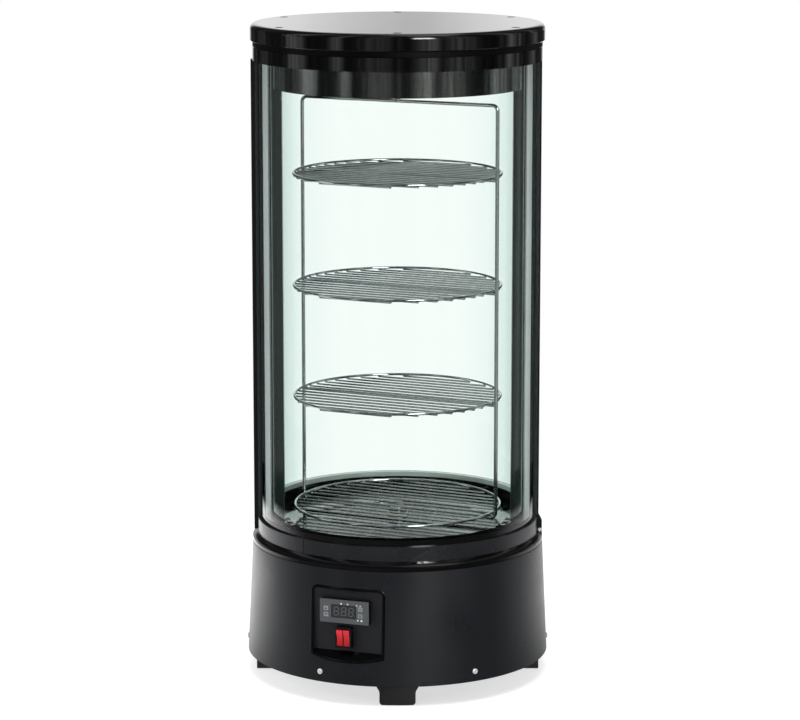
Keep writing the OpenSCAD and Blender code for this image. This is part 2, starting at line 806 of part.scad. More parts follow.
module switch_housing() {
    color("#131315") on_panel() difference() {
        union() {
            translate([switch_x, 0, switch_z]) rotate([90, 0, 0]) linear_extrude(stat_proud)
                round_rect(-switch_w / 2, switch_w / 2, -switch_hgt / 2, switch_hgt / 2, 1.5);
            block(switch_x - switch_w / 2 + 1.5, switch_x + switch_w / 2 - 1.5, -0.2, switch_depth,
                switch_z - switch_hgt / 2 + 1.5, switch_z + switch_hgt / 2 - 1.5);
            for (x = [-1, 1], z = [-8, 0, 8])
                translate([switch_x + x * 5, switch_depth + 4, switch_z + z])
                    cube([0.8, 9, 5], center = true);
        }
        for (side = [-1, 1]) {
            x = rocker_x(side);
            block(x - rocker_w / 2 - rocker_side, x + rocker_w / 2 + rocker_side, -stat_proud - 1,
                rocker_pivot_y + 7, switch_z - rocker_h / 2 - fit, switch_z + rocker_h / 2 + fit);
            translate([x, rocker_pivot_y, switch_z]) rotate([0, 90, 0])
                cylinder(r = trunnion_r + run_fit, h = rocker_w + 2 * rocker_side + 1, center = true);
        }
    }
}

// Rocker with a shallow V face and round ends, tilted with its top out
module rocker(side) {
    on_panel() translate([rocker_x(side), rocker_pivot_y, switch_z]) rotate([rocker_tilt, 0, 0])
        rotate([90, 0, 90]) {
            linear_extrude(rocker_w, center = true) intersection() {
                circle(rocker_h / 2);
                polygon([[3, -10], [3, 10], [-3.8, 13], [-4.2, 11], [-3.9, 8], [-2.6, 1.5], [-2.4, 0],
                    [-2.6, -1.5], [-3.9, -8], [-4.2, -11], [-3.8, -13]]);
            }
            cylinder(r = trunnion_r, h = rocker_w + 2 * rocker_side + 0.8, center = true);
        }
}

module rocker_left() {
    color("#e23a42") rocker(-1);
}

module rocker_right() {
    color("#e23a42") rocker(1);
}

// Deck and floor

seam_angle = 41;
deck_bore = bush_r + 0.3;
module seam(r0, r1, z0, z1, w) {
    rotate([0, 0, -90 - seam_angle]) block(r0, r1, -w / 2, w / 2, z0, z1);
}

// Openings from the evaporator box up into the floor
module air_ports(z0, z1, grow) {
    translate([evap_fan_x, evap_fan_y, z0]) cylinder(r = evap_fan_r + 2 + grow, h = z1 - z0);
    block(evap_x0 + evap_wall + 6 - grow, evap_x1 - evap_wall - 20 + grow, evap_y0 + evap_wall + 16 - grow,
        evap_fan_y - evap_fan_r - 7 + grow, z0, z1);
}

module base_deck() {
    color("#1d1e20") difference() {
        rotate_extrude() difference() {
            union() {
                slab2d(0, rim_r, z_deck, z_ledge - 3);
                slab2d(floor_r - 4, rim_r, z_deck, z_ledge);
                slab2d(floor_r - 4, rim_r, z_deck, z_step);
            }
            translate([rim_r, z_step]) circle(cove);
        }
        band(floor_r, far, post_back + fit, far, z_ledge, z_step + 1);
        side_band(rail_r + fit, far, 1, -post_back - 0.3, post_back + 1, z_ledge, z_step + 1);
        translate([0, 0, z_deck - 1]) cylinder(r = deck_bore, h = 20);
        air_ports(z_deck - 1, z_step, 0);
        seam(rim_r - 0.8, far, z_deck - 1, z_ledge + 1, 0.6);
    }
}

module foam_insulation() {
    color("#e8dcae") {
        difference() {
            translate([0, 0, z_ledge - 3]) cylinder(r = floor_r - 4.3, h = z_step - z_ledge + 3);
            translate([0, 0, z_deck]) cylinder(r = deck_bore, h = 20);
            air_ports(z_deck, z_step + 1, 0);
        }
        difference() {
            translate([0, 0, z_ceiling + 24])
                cylinder(r = ceiling_r - sheet - 0.3, h = z_ring + ring_seat - z_ceiling - 24);
            post_notches(z_ceiling, z_ring + 10);
        }
    }
}

tray_wall = 1.5;
slot_r = floor_r - 14;
module floor_tray() {
    color("#a9adb0") difference() {
        union() {
            tube(floor_r - tray_wall, floor_r, z_step, z_floor - plate_t);
            translate([0, 0, z_step]) cylinder(r = floor_r, h = tray_wall);
            for (a = [0 : 45 : 135]) rotate([0, 0, a + 22.5])
                for (s = [0, 1]) mirror([s, 0, 0])
                    block(60, floor_r - 20, -0.8, 0.8, z_step, z_floor - plate_t);
        }
        post_notches(z_step - 1, z_floor);
        translate([0, 0, z_step - 1]) cylinder(r = deck_bore, h = 20);
        air_ports(z_step - 1, z_floor, 0);
    }
}

module floor_plate() {
    color("#8d958f") difference() {
        translate([0, 0, z_floor - plate_t]) cylinder(r = floor_r, h = plate_t);
        post_notches(z_step - 1, z_floor + 1);
        translate([0, 0, z_floor - 10]) cylinder(r = deck_bore, h = 20);
        for (side = [0, 180], i = [-4 : 4]) if (abs(i) > 0.5)
            rotate([0, 0, side + i * 8 + sign(i) * 3])
                block(slot_r - 9, slot_r, -9, 9, z_floor - 5, z_floor + 1);
    }
}

module front_rail() {
    color("#2b2c2f") difference() {
        union() {
            band(glass_r + fit, rail_r, -far, -post_front - fit, z_step, z_floor);
            band(glass_in + 4, rail_r, -far, -post_front - fit, z_step, z_step + rail_foot);
        }
        seam(floor_r, far, z_step - 1, z_floor + 1, 0.5);
    }
}

// Fixed glass and posts

module front_pane_outer() {
    color([0.8, 0.92, 0.88, 0.4])
        band(glass_r - pane_t, glass_r, -far, -glass_cut, z_glass, z_glass_top);
}

module front_pane_inner() {
    color([0.8, 0.92, 0.88, 0.4])
        band(glass_in, glass_in + pane_t, -far, -glass_cut, z_glass, z_glass_top);
}

spacer_w = 7;
spacer_fit = 0.1;
module front_spacer() {
    r0 = glass_in + pane_t + spacer_fit;
    r1 = glass_r - pane_t - spacer_fit;
    color("#c9ccce") difference() {
        band(r0, r1, -far, -glass_cut, z_glass, z_glass_top);
        band(r0 - 1, r1 + 1, -far, -glass_cut - spacer_w, z_glass + spacer_w, z_glass_top - spacer_w);
    }
}

module post_right() {
    color("#3b4442") translate([0, 0, z_step]) linear_extrude(z_ring - z_step) post_section(true);
}

module post_left() {
    color("#3b4442") mirror([1, 0, 0]) translate([0, 0, z_step]) linear_extrude(z_ring - z_step)
        post_section(true);
}

// Head

ring_wall = 3;
module upper_ring() {
    ledge = glass_r + fit + 0.3;
    color("#0e0f10") difference() {
        union() {
            rotate_extrude() polygon([[ledge, z_ring], [ring_r, z_ring], [ring_r, z_groove - 0.8],
                [ring_r - 0.8, z_groove], [ring_r - ring_wall, z_groove],
                [ring_r - ring_wall, z_ring + ring_seat], [ledge, z_ring + ring_seat]]);
            band(glass_in + fit, ledge + 1, post_back + fit, far, z_ring, z_ring + ring_seat);
            for (side = [0, 1]) mirror([side, 0, 0]) translate([0, 0, z_ring])
                linear_extrude(ring_seat) post_section(false);
        }
        translate([hinge_x, hinge_y, z_ring - 1]) cylinder(r = pin_r + 0.02, h = 20);
    }
}

cap_screw_r = glass_in + 9;
cap_screw_d = 6;
cap_screw_seat = 0.65 * cap_screw_d;
cap_screw_hole_r = cap_screw_d / 2 + screw_fit;
module at_cap_screws() {
    for (a = [0 : 60 : 300]) rotate([0, 0, a + 90]) translate([cap_screw_r, 0, 0]) children();
}

head_plate_t = 2.5;
module head_plate() {
    color("#5a5d60") difference() {
        translate([0, 0, z_ring + ring_seat]) cylinder(r = ring_r - ring_wall - fit, h = head_plate_t);
        translate([0, 0, z_ring]) cylinder(r = 20, h = 20);
    }
}

z_spacer = z_ring + ring_seat + head_plate_t;
groove_inset = 0.3;
module cap_spacer() {
    color("#060606") difference() {
        union() {
            tube(glass_in - 1, ring_r - ring_wall - fit, z_spacer, z_cap);
            tube(glass_in + 1, ring_r - groove_inset, z_groove, z_cap);
        }
        at_cap_screws() translate([0, 0, z_spacer + 1]) cylinder(r = cap_screw_hole_r, h = z_cap - z_spacer);
    }
}

skin = 1.5;
z_line = 12;
module ceiling_housing() {
    color("#141517") difference() {
        union() {
            tube(ceiling_r - skin, ceiling_r, z_ceiling, z_ring + ring_seat);
            translate([0, 0, z_ceiling]) cylinder(r = ceiling_r, h = skin);
        }
        tube(ceiling_r - 0.6, ceiling_r + 1, z_ceiling + z_line, z_ceiling + z_line + 0.8);
        post_notches(z_ceiling - 1, z_ring + 20);
        translate([0, 0, z_ceiling - 1]) cylinder(r = pivot_r + 5.2, h = 10);
    }
}

light_in = 92;
light_out = 134;
module ceiling_light() {
    color("#f2f4f4") {
        tube(light_in, light_out, z_ceiling - 3, z_ceiling);
        tube(light_in + 8, light_out - 8, z_ceiling - 4.5, z_ceiling - 3);
    }
}

cap_round = 8;
cap_edge = 1.5;
cap_wall = 3;
boss_wall = 2;

// Half profile of a can with a rounded upper edge
module domed2d(r, h, edge) {
    square([r, h - edge]);
    square([r - edge, h]);
    translate([r - edge, h - edge]) circle(edge);
}

module top_cap() {
    seat_r = cap_screw_d + 0.4;
    color("#0c0d0e") difference() {
        union() {
            translate([0, 0, z_cap]) rotate_extrude() difference() {
                union() {
                    translate([0, cap_edge]) domed2d(cap_r, cap_h - cap_edge, cap_round);
                    square([cap_r - cap_edge, cap_h / 2]);
                    translate([cap_r - cap_edge, cap_edge]) circle(cap_edge);
                }
                translate([0, -1]) domed2d(cap_r - cap_wall, cap_h + 1 - cap_wall, cap_round - cap_wall);
            }
            at_cap_screws() translate([0, 0, z_cap]) cylinder(r = seat_r + boss_wall, h = cap_h - 1);
        }
        at_cap_screws() translate([0, 0, z_cap - 1]) cylinder(r = cap_screw_hole_r, h = cap_h + 2);
        at_cap_screws() translate([0, 0, z_top - cap_screw_seat])
            cylinder(r = seat_r, h = cap_screw_seat + 1);
    }
}

module cap_screws() {
    color("#2a2b2d") at_cap_screws() translate([0, 0, z_top - cap_screw_seat]) rotate([0, -90, 0])
        pan_screw(cap_screw_d, cap_h + 5);
}

// Door

door_left = door_front + handle_stile_w;
door_right = door_front + hinge_stile_w;

// Plan of the door between two radii, from the hinge stile round to the handle stile
module door_plan(r_in, r_out, right, left) {
    intersection() {
        ring2d(r_in, r_out);
        union() {
            slab2d(0, far, right, far);
            slab2d(-far, 0, left, far);
        }
    }
}

module door_panel(r_in, r_out, right, left, z0, z1) {
    translate([0, 0, z0]) linear_extrude(z1 - z0) door_plan(r_in, r_out, right, left);
}

z_door_glass = z_door + rail_low_h;
z_door_glass_top = z_door_top - rail_high_h;

module door_pane_outer() {
    color([0.8, 0.92, 0.88, 0.4])
        door_panel(door_r - pane_t, door_r, door_right + 0.2, door_left + 0.2,
            z_door_glass + 0.2, z_door_glass_top - 0.2);
}

module door_pane_inner() {
    color([0.8, 0.92, 0.88, 0.4])
        door_panel(door_in, door_in + pane_t, door_right + 0.2, door_left + 0.2,
            z_door_glass + 0.2, z_door_glass_top - 0.2);
}

module door_spacer() {
    r0 = door_in + pane_t + spacer_fit;
    r1 = door_r - pane_t - spacer_fit;
    lap = stile_tongue + 0.2;
    z0 = z_door_glass + lap;
    z1 = z_door_glass_top - lap;
    color("#c9ccce") difference() {
        door_panel(r0, r1, door_right + lap, door_left + lap, z0, z1);
        door_panel(r0 - 1, r1 + 1, door_right + lap + spacer_w, door_left + lap + spacer_w,
            z0 + spacer_w, z1 - spacer_w);
    }
}

module door_rails() {
    r0 = door_in + pane_t + spacer_fit;
    r1 = door_r - pane_t - spacer_fit;
    color("#101112") {
        door_panel(door_in, door_r, door_right, door_left, z_door, z_door_glass);
        door_panel(r0, r1, door_right, door_left, z_door_glass - 0.1, z_door_glass + stile_tongue);
        door_panel(door_in, door_r, door_right, door_left, z_door_glass_top, z_door_top);
        door_panel(r0, r1, door_right, door_left, z_door_glass_top - stile_tongue, z_door_glass_top + 0.1);
    }
}

// Tongue of a stile that enters between the panes
module tongue(side, y0) {
    side_band(door_in + pane_t + spacer_fit, door_r - pane_t - spacer_fit, side, y0 - 0.1,
        y0 + stile_tongue, z_door_glass + stile_tongue + 0.1, z_door_glass_top - stile_tongue - 0.1);
}

module door_stile_hinge() {
    color("#101112") difference() {
        union() {
            side_band(door_in, door_r, 1, door_front, door_right, z_door, z_door_top);
            tongue(1, door_right);
        }
        translate([hinge_x, hinge_y, z_door - 1]) cylinder(r = pin_r + run_fit, h = 20);
        translate([hinge_x, hinge_y, z_door_top - 19]) cylinder(r = pin_r + run_fit, h = 20);
    }
}

grip_front = 8;
grip_w = 12;
module door_stile_handle() {
    color("#101112") difference() {
        union() {
            side_band(door_in, door_r + handle_proud, -1, door_front, door_left, z_door, z_door_top);
            tongue(-1, door_left);
        }
        side_band(groove_r, far, -1, door_front + grip_front, door_front + grip_front + grip_w,
            z_door + 40, z_door_top - 40);
    }
}

seal_start = hinge_y + 4;
module door_gasket() {
    z0 = z_floor - 16;
    z1 = z_door_top - 10;
    color("#0a0a0a") {
        band(floor_r + 0.4, door_in - 0.1, seal_start, far, z0, z0 + 10);
        band(ceiling_r + 0.4, door_in - 0.1, seal_start, far, z1 - 10, z1);
        for (side = [-1, 1])
            side_band(door_in - 4, hinge_x - 3, side, post_back + fit, door_front, z0, z1);
    }
}

bracket_out = cap_r + 1;
ear_h = 29;
module hinge_bracket() {
    bevel = bracket_out - ring_r;
    color("#0f1011") difference() {
        union() {
            intersection() {
                rotate_extrude() polygon([[rail_r + fit + 0.1, z_ledge], [bracket_out, z_ledge],
                    [bracket_out, z_ledge + ear_h - 2 * bevel], [ring_r, z_ledge + ear_h],
                    [rail_r + fit + 0.1, z_ledge + ear_h]]);
                block(0, far, -post_back, post_back, z_ledge, z_top);
            }
            side_band(door_in + 2, bracket_out, 1, post_back + fit + 0.1, hinge_y + 9,
                z_ledge, z_ledge + bracket_t);
            side_band(rail_r + fit + 0.1, bracket_out, 1, post_back - 1, hinge_y,
                z_ledge, z_ledge + bracket_t);
        }
        translate([hinge_x, hinge_y, z_ledge - 1]) cylinder(r = pin_r + 0.02, h = 20);
        at_bracket_screw() rotate([0, 90, 0])
            cylinder(r = bracket_screw_d / 2 + screw_fit, h = 30, center = true);
    }
}

pin_in = 16;
module hinge_pins() {
    color("silver") translate([hinge_x, hinge_y, 0]) {
        translate([0, 0, z_ledge]) cylinder(r = pin_r, h = bracket_t + pin_in);
        translate([0, 0, z_ledge + bracket_t]) cylinder(r = 4.2, h = washer_t);
        translate([0, 0, z_door_top - pin_in]) cylinder(r = pin_r, h = pin_in + 1 + ring_seat);
    }
}

// Rack

// Quarter bend of round wire from +Z at [x, 0] down to the bar, in the frame's plane
module corner(side, top) {
    translate([side * (leg_r - frame_bend), 0, top ? z_bar - frame_bend : z_hoop + frame_bend])
        rotate([90, 0, 0]) rotate([0, 0, top ? (side > 0 ? 0 : 90) : (side > 0 ? -90 : 180)])
            rotate_extrude(angle = 90) translate([frame_bend, 0]) circle(d = frame_d);
}

module rack_frame() {
    straight = leg_r - frame_bend;
    color("#6f7678") rotate([0, 0, rack_turn]) {
        for (side = [-1, 1]) {
            translate([side * leg_r, 0, z_hoop + frame_bend])
                cylinder(d = frame_d, h = z_bar - z_hoop - 2 * frame_bend);
            corner(side, true);
            corner(side, false);
            translate([side * leg_r, 0, z_shelf_1 - ring_d / 2 - peg_r - 0.02]) rotate([0, -side * 90, 0])
                cylinder(r = peg_r, h = leg_r - shelf_r + peg_lap);
        }
        for (z = [z_hoop, z_bar]) translate([-straight, 0, z]) rotate([0, 90, 0])
            cylinder(d = frame_d, h = 2 * straight);
        for (i = [1 : shelf_count - 1])
            translate([-leg_r, 0, z_shelf_1 + i * shelf_pitch - ring_d / 2 - bar_d / 2 - 0.02])
                rotate([0, 90, 0]) cylinder(d = bar_d, h = 2 * leg_r);
        translate([0, 0, z_bar]) cylinder(r = pivot_r, h = z_ceiling - z_bar + 12);
    }
}

// Round wire shelf: ring on top, parallel wires welded under it
module shelf(i) {
    z = z_shelf_1 + i * shelf_pitch;
    weld = 0.5;
    count = floor((shelf_r - wire_first - 1) / wire_pitch);
    color("#8b9193") rotate([0, 0, rack_turn]) {
        translate([0, 0, z]) rotate_extrude() translate([shelf_r, 0]) circle(d = ring_d);
        for (k = [0 : count], s = [-1, 1]) {
            y = s * (wire_first + k * wire_pitch);
            half = sqrt(shelf_r * shelf_r - y * y);
            translate([-half, y, z - ring_d / 2 - wire_d / 2 + weld]) rotate([0, 90, 0])
                cylinder(d = wire_d, h = 2 * half);
        }
    }
}

module shelf_1() {
    shelf(0);
}

module shelf_2() {
    shelf(1);
}

module shelf_3() {
    shelf(2);
}

module shelf_4() {
    shelf(3);
}

feet();
base_pan();
base_skirt();
pan_screws();
mains_gland();
terminal_box();
compressor();
compressor_mounts();
condenser_coil();
condenser_fan_housing();
condenser_fan();
refrigerant_lines();
evaporator_box();
evaporator_coil();
evaporator_fan_plate();
evaporator_fan();
rack_gearmotor();
drive_shaft();
rack_bushes();
control_panel();
thermostat();
display_window();
button_up();
button_down();
button_set();
button_defrost();
switch_housing();
rocker_left();
rocker_right();
base_deck();
foam_insulation();
floor_tray();
floor_plate();
front_rail();
front_pane_outer();
front_pane_inner();
front_spacer();
post_left();
post_right();
upper_ring();
head_plate();
cap_spacer();
ceiling_housing();
ceiling_light();
top_cap();
cap_screws();
door_pane_outer();
door_pane_inner();
door_spacer();
door_rails();
door_stile_hinge();
door_stile_handle();
door_gasket();
hinge_bracket();
hinge_pins();
rack_frame();
shelf_1();
shelf_2();
shelf_3();
shelf_4();
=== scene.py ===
import math

import bpy
import numpy as np
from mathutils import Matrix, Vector


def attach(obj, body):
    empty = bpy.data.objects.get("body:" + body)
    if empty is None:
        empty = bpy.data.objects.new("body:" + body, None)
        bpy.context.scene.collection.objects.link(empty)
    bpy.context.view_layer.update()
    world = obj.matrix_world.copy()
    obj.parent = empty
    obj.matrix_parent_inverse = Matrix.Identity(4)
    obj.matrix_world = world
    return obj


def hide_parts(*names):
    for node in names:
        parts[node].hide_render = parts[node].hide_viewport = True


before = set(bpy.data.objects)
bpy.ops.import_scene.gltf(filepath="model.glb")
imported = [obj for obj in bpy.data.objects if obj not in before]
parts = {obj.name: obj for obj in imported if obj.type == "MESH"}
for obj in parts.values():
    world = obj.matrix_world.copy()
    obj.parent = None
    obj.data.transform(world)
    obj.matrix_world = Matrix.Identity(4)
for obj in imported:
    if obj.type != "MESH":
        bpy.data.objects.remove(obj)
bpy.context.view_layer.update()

# Camera
# A long lens a little above the case, pointing slightly down at it, as in the photograph. Its focal
# length is in pixels of a picture 800 pixels wide.
picture_w, focal_px = 800, 3114.45
eye = (0.0036, -4.5518, 1.3254)
tilt_down = math.radians(10.657)
lens = bpy.data.cameras.new("long_lens")
lens.sensor_width = 36
lens.lens = focal_px / picture_w * lens.sensor_width
lens.clip_end = 60
camera = bpy.data.objects.new("camera", lens)
camera.location = eye
camera.rotation_euler = (math.pi / 2 - tilt_down, 0, 0)
bpy.context.scene.collection.objects.link(camera)
bpy.context.scene.camera = camera
bpy.context.scene.view_settings.view_transform = "Standard"


# Studio
# A pale round floor in a surround, and three soft lamps that reflections don't show. Both are plain
# white where they are seen straight on or only through glass. Gloss and metal see them dark, with a
# bright screen behind the case and soft upright streaks round it.
def linear(code):
    """An sRGB hex value as linear channels: v / 12.92 up to 0.04045, else ((v + 0.055) / 1.055) to
    the power 2.4, with v the channel from 0 to 1."""
    v = np.array([int(code[i:i + 2], 16) for i in (1, 3, 5)]) / 255
    v = np.where(v <= 0.04045, v / 12.92, ((v + 0.055) / 1.055) ** 2.4)
    return (*v.tolist(), 1.0)


def add(tree, kind, values=None, **settings):
    """Adds one node. The settings are its own properties, and the values are its inputs by name or
    number, each a plain value or the output that feeds it."""
    made = tree.nodes.new("ShaderNode" + kind)
    for key, value in settings.items():
        setattr(made, key, value)
    for key, value in (values or {}).items():
        if isinstance(value, bpy.types.NodeSocket):
            tree.links.new(value, made.inputs[key])
        else:
            made.inputs[key].default_value = value
    return made


def blank(name):
    """A new material with an empty node tree."""
    made = bpy.data.materials.new(name)
    made.use_nodes = True
    made.node_tree.nodes.clear()
    return made, made.node_tree


def ray_kinds(tree):
    """Two outputs of 0 or 1. The first is 1 for what is seen straight on or only through glass: the
    larger of Is Camera Ray and Is Transmission Ray, but the latter only where Glossy Depth is under
    0.5. The second is 1 for what gloss or glass shows: the larger of Is Glossy Ray and Is
    Transmission Ray."""
    ray = add(tree, "LightPath").outputs
    through = add(tree, "Math", {0: ray["Glossy Depth"], 1: 0.5}, operation="LESS_THAN").outputs[0]
    through = add(tree, "Math", {0: ray["Is Transmission Ray"], 1: through},
        operation="MULTIPLY").outputs[0]
    straight = add(tree, "Math", {0: ray["Is Camera Ray"], 1: through}, operation="MAXIMUM")
    bounced = add(tree, "Math", {0: ray["Is Glossy Ray"], 1: ray["Is Transmission Ray"]},
        operation="MAXIMUM")
    return straight.outputs[0], bounced.outputs[0]


# The setting of a Map Range that starts and ends softly.
eased = {"interpolation_type": "SMOOTHSTEP"}


def streak(tree, turn, at_deg, edge_deg, full_deg, strength):
    """Brightness of an upright streak. It rises smoothly from 0, where the turn is edge_deg away
    from at_deg, to strength, where it is full_deg away."""
    off = add(tree, "Math", {0: turn, 1: math.radians(at_deg)}, operation="SUBTRACT").outputs[0]
    off = add(tree, "Math", {0: off}, operation="ABSOLUTE").outputs[0]
    return add(tree, "MapRange", {0: off, 1: math.radians(edge_deg), 2: math.radians(full_deg),
        3: 0.0, 4: strength}, **eased).outputs[0]


surround = bpy.data.worlds.new("surround")
surround.use_nodes = True
bpy.context.scene.world = surround
t = surround.node_tree
t.nodes.clear()
straight, bounced = ray_kinds(t)
way = add(t, "SeparateXYZ", {0: add(t, "TexCoord").outputs["Generated"]}).outputs
south = add(t, "Math", {0: way["Y"], 1: -1.0}, operation="MULTIPLY").outputs[0]
turn = add(t, "Math", {0: way["X"], 1: south}, operation="ARCTAN2").outputs[0]
turned = add(t, "Math", {0: turn}, operation="ABSOLUTE").outputs[0]

# The screen fades in between two turns from the front. Above the horizon it dips in the middle.
screen_edge, screen_full = math.radians(158), math.radians(172)
dip_edge, dip_rim, dip_middle = math.radians(177.3), 1.1, 0.68
horizon_top = 0.06
screen = add(t, "MapRange", {0: turned, 1: screen_edge, 2: screen_full}, **eased).outputs[0]
dip = add(t, "MapRange", {0: turned, 1: dip_edge, 2: math.pi, 3: dip_rim, 4: dip_middle},
    **eased).outputs[0]
above = add(t, "MapRange", {0: way["Z"], 1: 0.0, 2: horizon_top}).outputs[0]
above = add(t, "Mix", {0: above, 2: 1.0, 3: dip}).outputs[0]
screen = add(t, "Math", {0: screen, 1: above}, operation="MULTIPLY").outputs[0]

# The streaks: turn and half width in degrees, and brightness. Folds in their cloth break them up.
studio_dark = 0.04
streaks = studio_dark
for at_deg, half_deg, strength in ((-129, 9, 0.2), (-88, 16, 0.9), (-49, 9, 1.0), (-15, 24, 0.35),
        (24, 15, 1.1), (50, 22, 0.5), (101, 18, 0.6), (134, 12, 0.22)):
    one = streak(t, turn, at_deg, half_deg, 0, strength)
    streaks = add(t, "Math", {0: one, 1: streaks}, operation="ADD").outputs[0]
folds_per_radian, fold_dark, fold_bright = 9.0, 0.25, 1.5
folds = add(t, "TexNoise", {"W": turn, "Scale": folds_per_radian, "Detail": 5.0, "Roughness": 0.65},
    noise_dimensions="1D").outputs[0]
folds = add(t, "MapRange", {0: folds, 1: 0.38, 2: 0.62, 3: fold_dark, 4: fold_bright}).outputs[0]
streaks = add(t, "Math", {0: streaks, 1: folds}, operation="MULTIPLY").outputs[0]

# A long panel overhead, a little to the right, which the rims' upper edges mirror.
roof_aside, roof_half, roof_bright = 0.45, 0.6, 2.0
roof_low, roof_full = 0.87, 0.94
aside = add(t, "Math", {0: way["X"], 1: way["Z"]}, operation="DIVIDE").outputs[0]
aside = add(t, "Math", {0: aside, 1: roof_aside}, operation="SUBTRACT").outputs[0]
aside = add(t, "Math", {0: aside}, operation="ABSOLUTE").outputs[0]
roof = add(t, "MapRange", {0: aside, 1: roof_half, 2: 0.0, 3: 0.0, 4: roof_bright},
    **eased).outputs[0]
high = add(t, "MapRange", {0: way["Z"], 1: roof_low, 2: roof_full}, **eased).outputs[0]
roof = add(t, "Math", {0: roof, 1: high}, operation="MULTIPLY").outputs[0]

# A small bright lamp to the right of the camera glints on the rims. It fades out below and above.
bulb = streak(t, turn, 20.4, 10, 6, 20.0)
for edge, full in ((0.12, 0.2), (0.55, 0.45)):
    level = add(t, "MapRange", {0: way["Z"], 1: edge, 2: full}, **eased).outputs[0]
    bulb = add(t, "Math", {0: bulb, 1: level}, operation="MULTIPLY").outputs[0]

for lit in (roof, bulb, screen):
    streaks = add(t, "Math", {0: streaks, 1: lit}, operation="ADD").outputs[0]

# The plain light on the case: dim all round and brighter from the left and the right.
fill_dim, fill_edge, fill_full = 0.22, math.radians(45), math.radians(115)
fill = fill_dim
for hand, strength in ((-1.0, 0.8), (1.0, 0.5)):
    leant = add(t, "Math", {0: turn, 1: hand}, operation="MULTIPLY").outputs[0]
    side = add(t, "MapRange", {0: leant, 1: fill_edge, 2: fill_full, 3: 0.0, 4: strength},
        **eased).outputs[0]
    fill = add(t, "Math", {0: side, 1: fill}, operation="ADD").outputs[0]

white = linear("#ffffff")
lighting = add(t, "Background", {0: white, 1: fill}).outputs[0]
mirrored = add(t, "Background", {0: white, 1: streaks}).outputs[0]
plain = add(t, "Background", {0: white, 1: 1.0}).outputs[0]
unseen = add(t, "MixShader", {0: bounced, 1: lighting, 2: mirrored}).outputs[0]
whole = add(t, "MixShader", {0: straight, 1: unseen, 2: plain}).outputs[0]
add(t, "OutputWorld", {0: whole})

floor_r, floor_sides = 1.5, 96
turns = np.linspace(0, 2 * math.pi, floor_sides, endpoint=False)
rim = np.stack([floor_r * np.cos(turns), floor_r * np.sin(turns), np.zeros(floor_sides)], 1)
mesh = bpy.data.meshes.new("floor")
mesh.from_pydata(rim.tolist(), [], [list(range(floor_sides))])
floor = bpy.data.objects.new("floor", mesh)
bpy.context.scene.collection.objects.link(floor)

# Gloss and metal see the floor white behind the case, dim in front of it, half as bright on its
# right and dark near its edge. Seen straight on, it glows almost white and takes a faint shadow.
paper, t = blank("studio_paper")
straight, bounced = ray_kinds(t)
where = add(t, "TexCoord").outputs["Object"]
place = add(t, "SeparateXYZ", {0: where}).outputs
span = add(t, "VectorMath", {0: where}, operation="LENGTH").outputs["Value"]
dim_y, white_y, dim_share = -0.3, 0.4, 0.1
white_x, half_x, half_share = -0.3, 0.3, 0.5
dark_r, bright_r = 1.22, 1.1
back = add(t, "MapRange", {0: place["Y"], 1: dim_y, 2: white_y, 3: dim_share, 4: 1.0},
    **eased).outputs[0]
left = add(t, "MapRange", {0: place["X"], 1: white_x, 2: half_x, 3: 1.0, 4: half_share}).outputs[0]
near = add(t, "MapRange", {0: span, 1: dark_r, 2: bright_r}, **eased).outputs[0]
kept = add(t, "Math", {0: back, 1: left}, operation="MULTIPLY").outputs[0]
kept = add(t, "Math", {0: kept, 1: near}, operation="MULTIPLY").outputs[0]
shown_dimmed, shown_glow = 0.35, 0.62
dimmed = add(t, "Math", {0: 1.0, 1: kept}, operation="SUBTRACT").outputs[0]
dimmed = add(t, "Math", {0: dimmed, 1: bounced}, operation="MULTIPLY").outputs[0]
dimmed = add(t, "Mix", {0: straight, 2: dimmed, 3: shown_dimmed}).outputs[0]
sheet = add(t, "Mix", {0: dimmed, 6: linear("#e9e9e9"), 7: linear("#000000")}, data_type="RGBA")
shade = add(t, "BsdfDiffuse", {0: sheet.outputs[2]}).outputs[0]
glow = add(t, "Math", {0: bounced, 1: kept}, operation="MULTIPLY").outputs[0]
glow = add(t, "Mix", {0: straight, 2: glow, 3: shown_glow}).outputs[0]
glow = add(t, "Emission", {0: white, 1: glow}).outputs[0]
both = add(t, "AddShader", {0: shade, 1: glow}).outputs[0]
# Beyond the shadow it fades to plain white.
shadow_r, white_r = 0.8, 1.2
far = add(t, "MapRange", {0: span, 1: shadow_r, 2: white_r}, **eased).outputs[0]
far = add(t, "Math", {0: far, 1: straight}, operation="MULTIPLY").outputs[0]
plain = add(t, "Emission", {0: white, 1: 1.0}).outputs[0]
add(t, "OutputMaterial", {0: add(t, "MixShader", {0: far, 1: both, 2: plain}).outputs[0]})
mesh.materials.append(paper)


def lamp(name, spot, aim, size, watts):
    """A soft rectangular lamp at spot, turned to face aim; its Z axis points from aim to spot."""
    data = bpy.data.lights.new(name, "AREA")
    data.shape = "RECTANGLE"
    data.size, data.size_y = size
    data.energy = watts
    held = bpy.data.objects.new(name, data)
    held.location = spot
    away = Vector(spot) - Vector(aim)
    held.rotation_euler = away.to_track_quat("Z", "Y").to_euler()
    held.visible_glossy = held.visible_transmission = False
    bpy.context.scene.collection.objects.link(held)


# Each lamp's place, aim, width and height in metres, and watts.
chamber = (0, 0, 0.6)
lamp("left_softbox", (-3.0, -1.2, 1.2), chamber, (0.9, 2.2), 55)
lamp("right_softbox", (3.2, -0.9, 1.2), chamber, (0.5, 2.2), 40)
lamp("overhead_softbox", (0.2, -0.8, 3.4), chamber, (2.0, 1.6), 75)


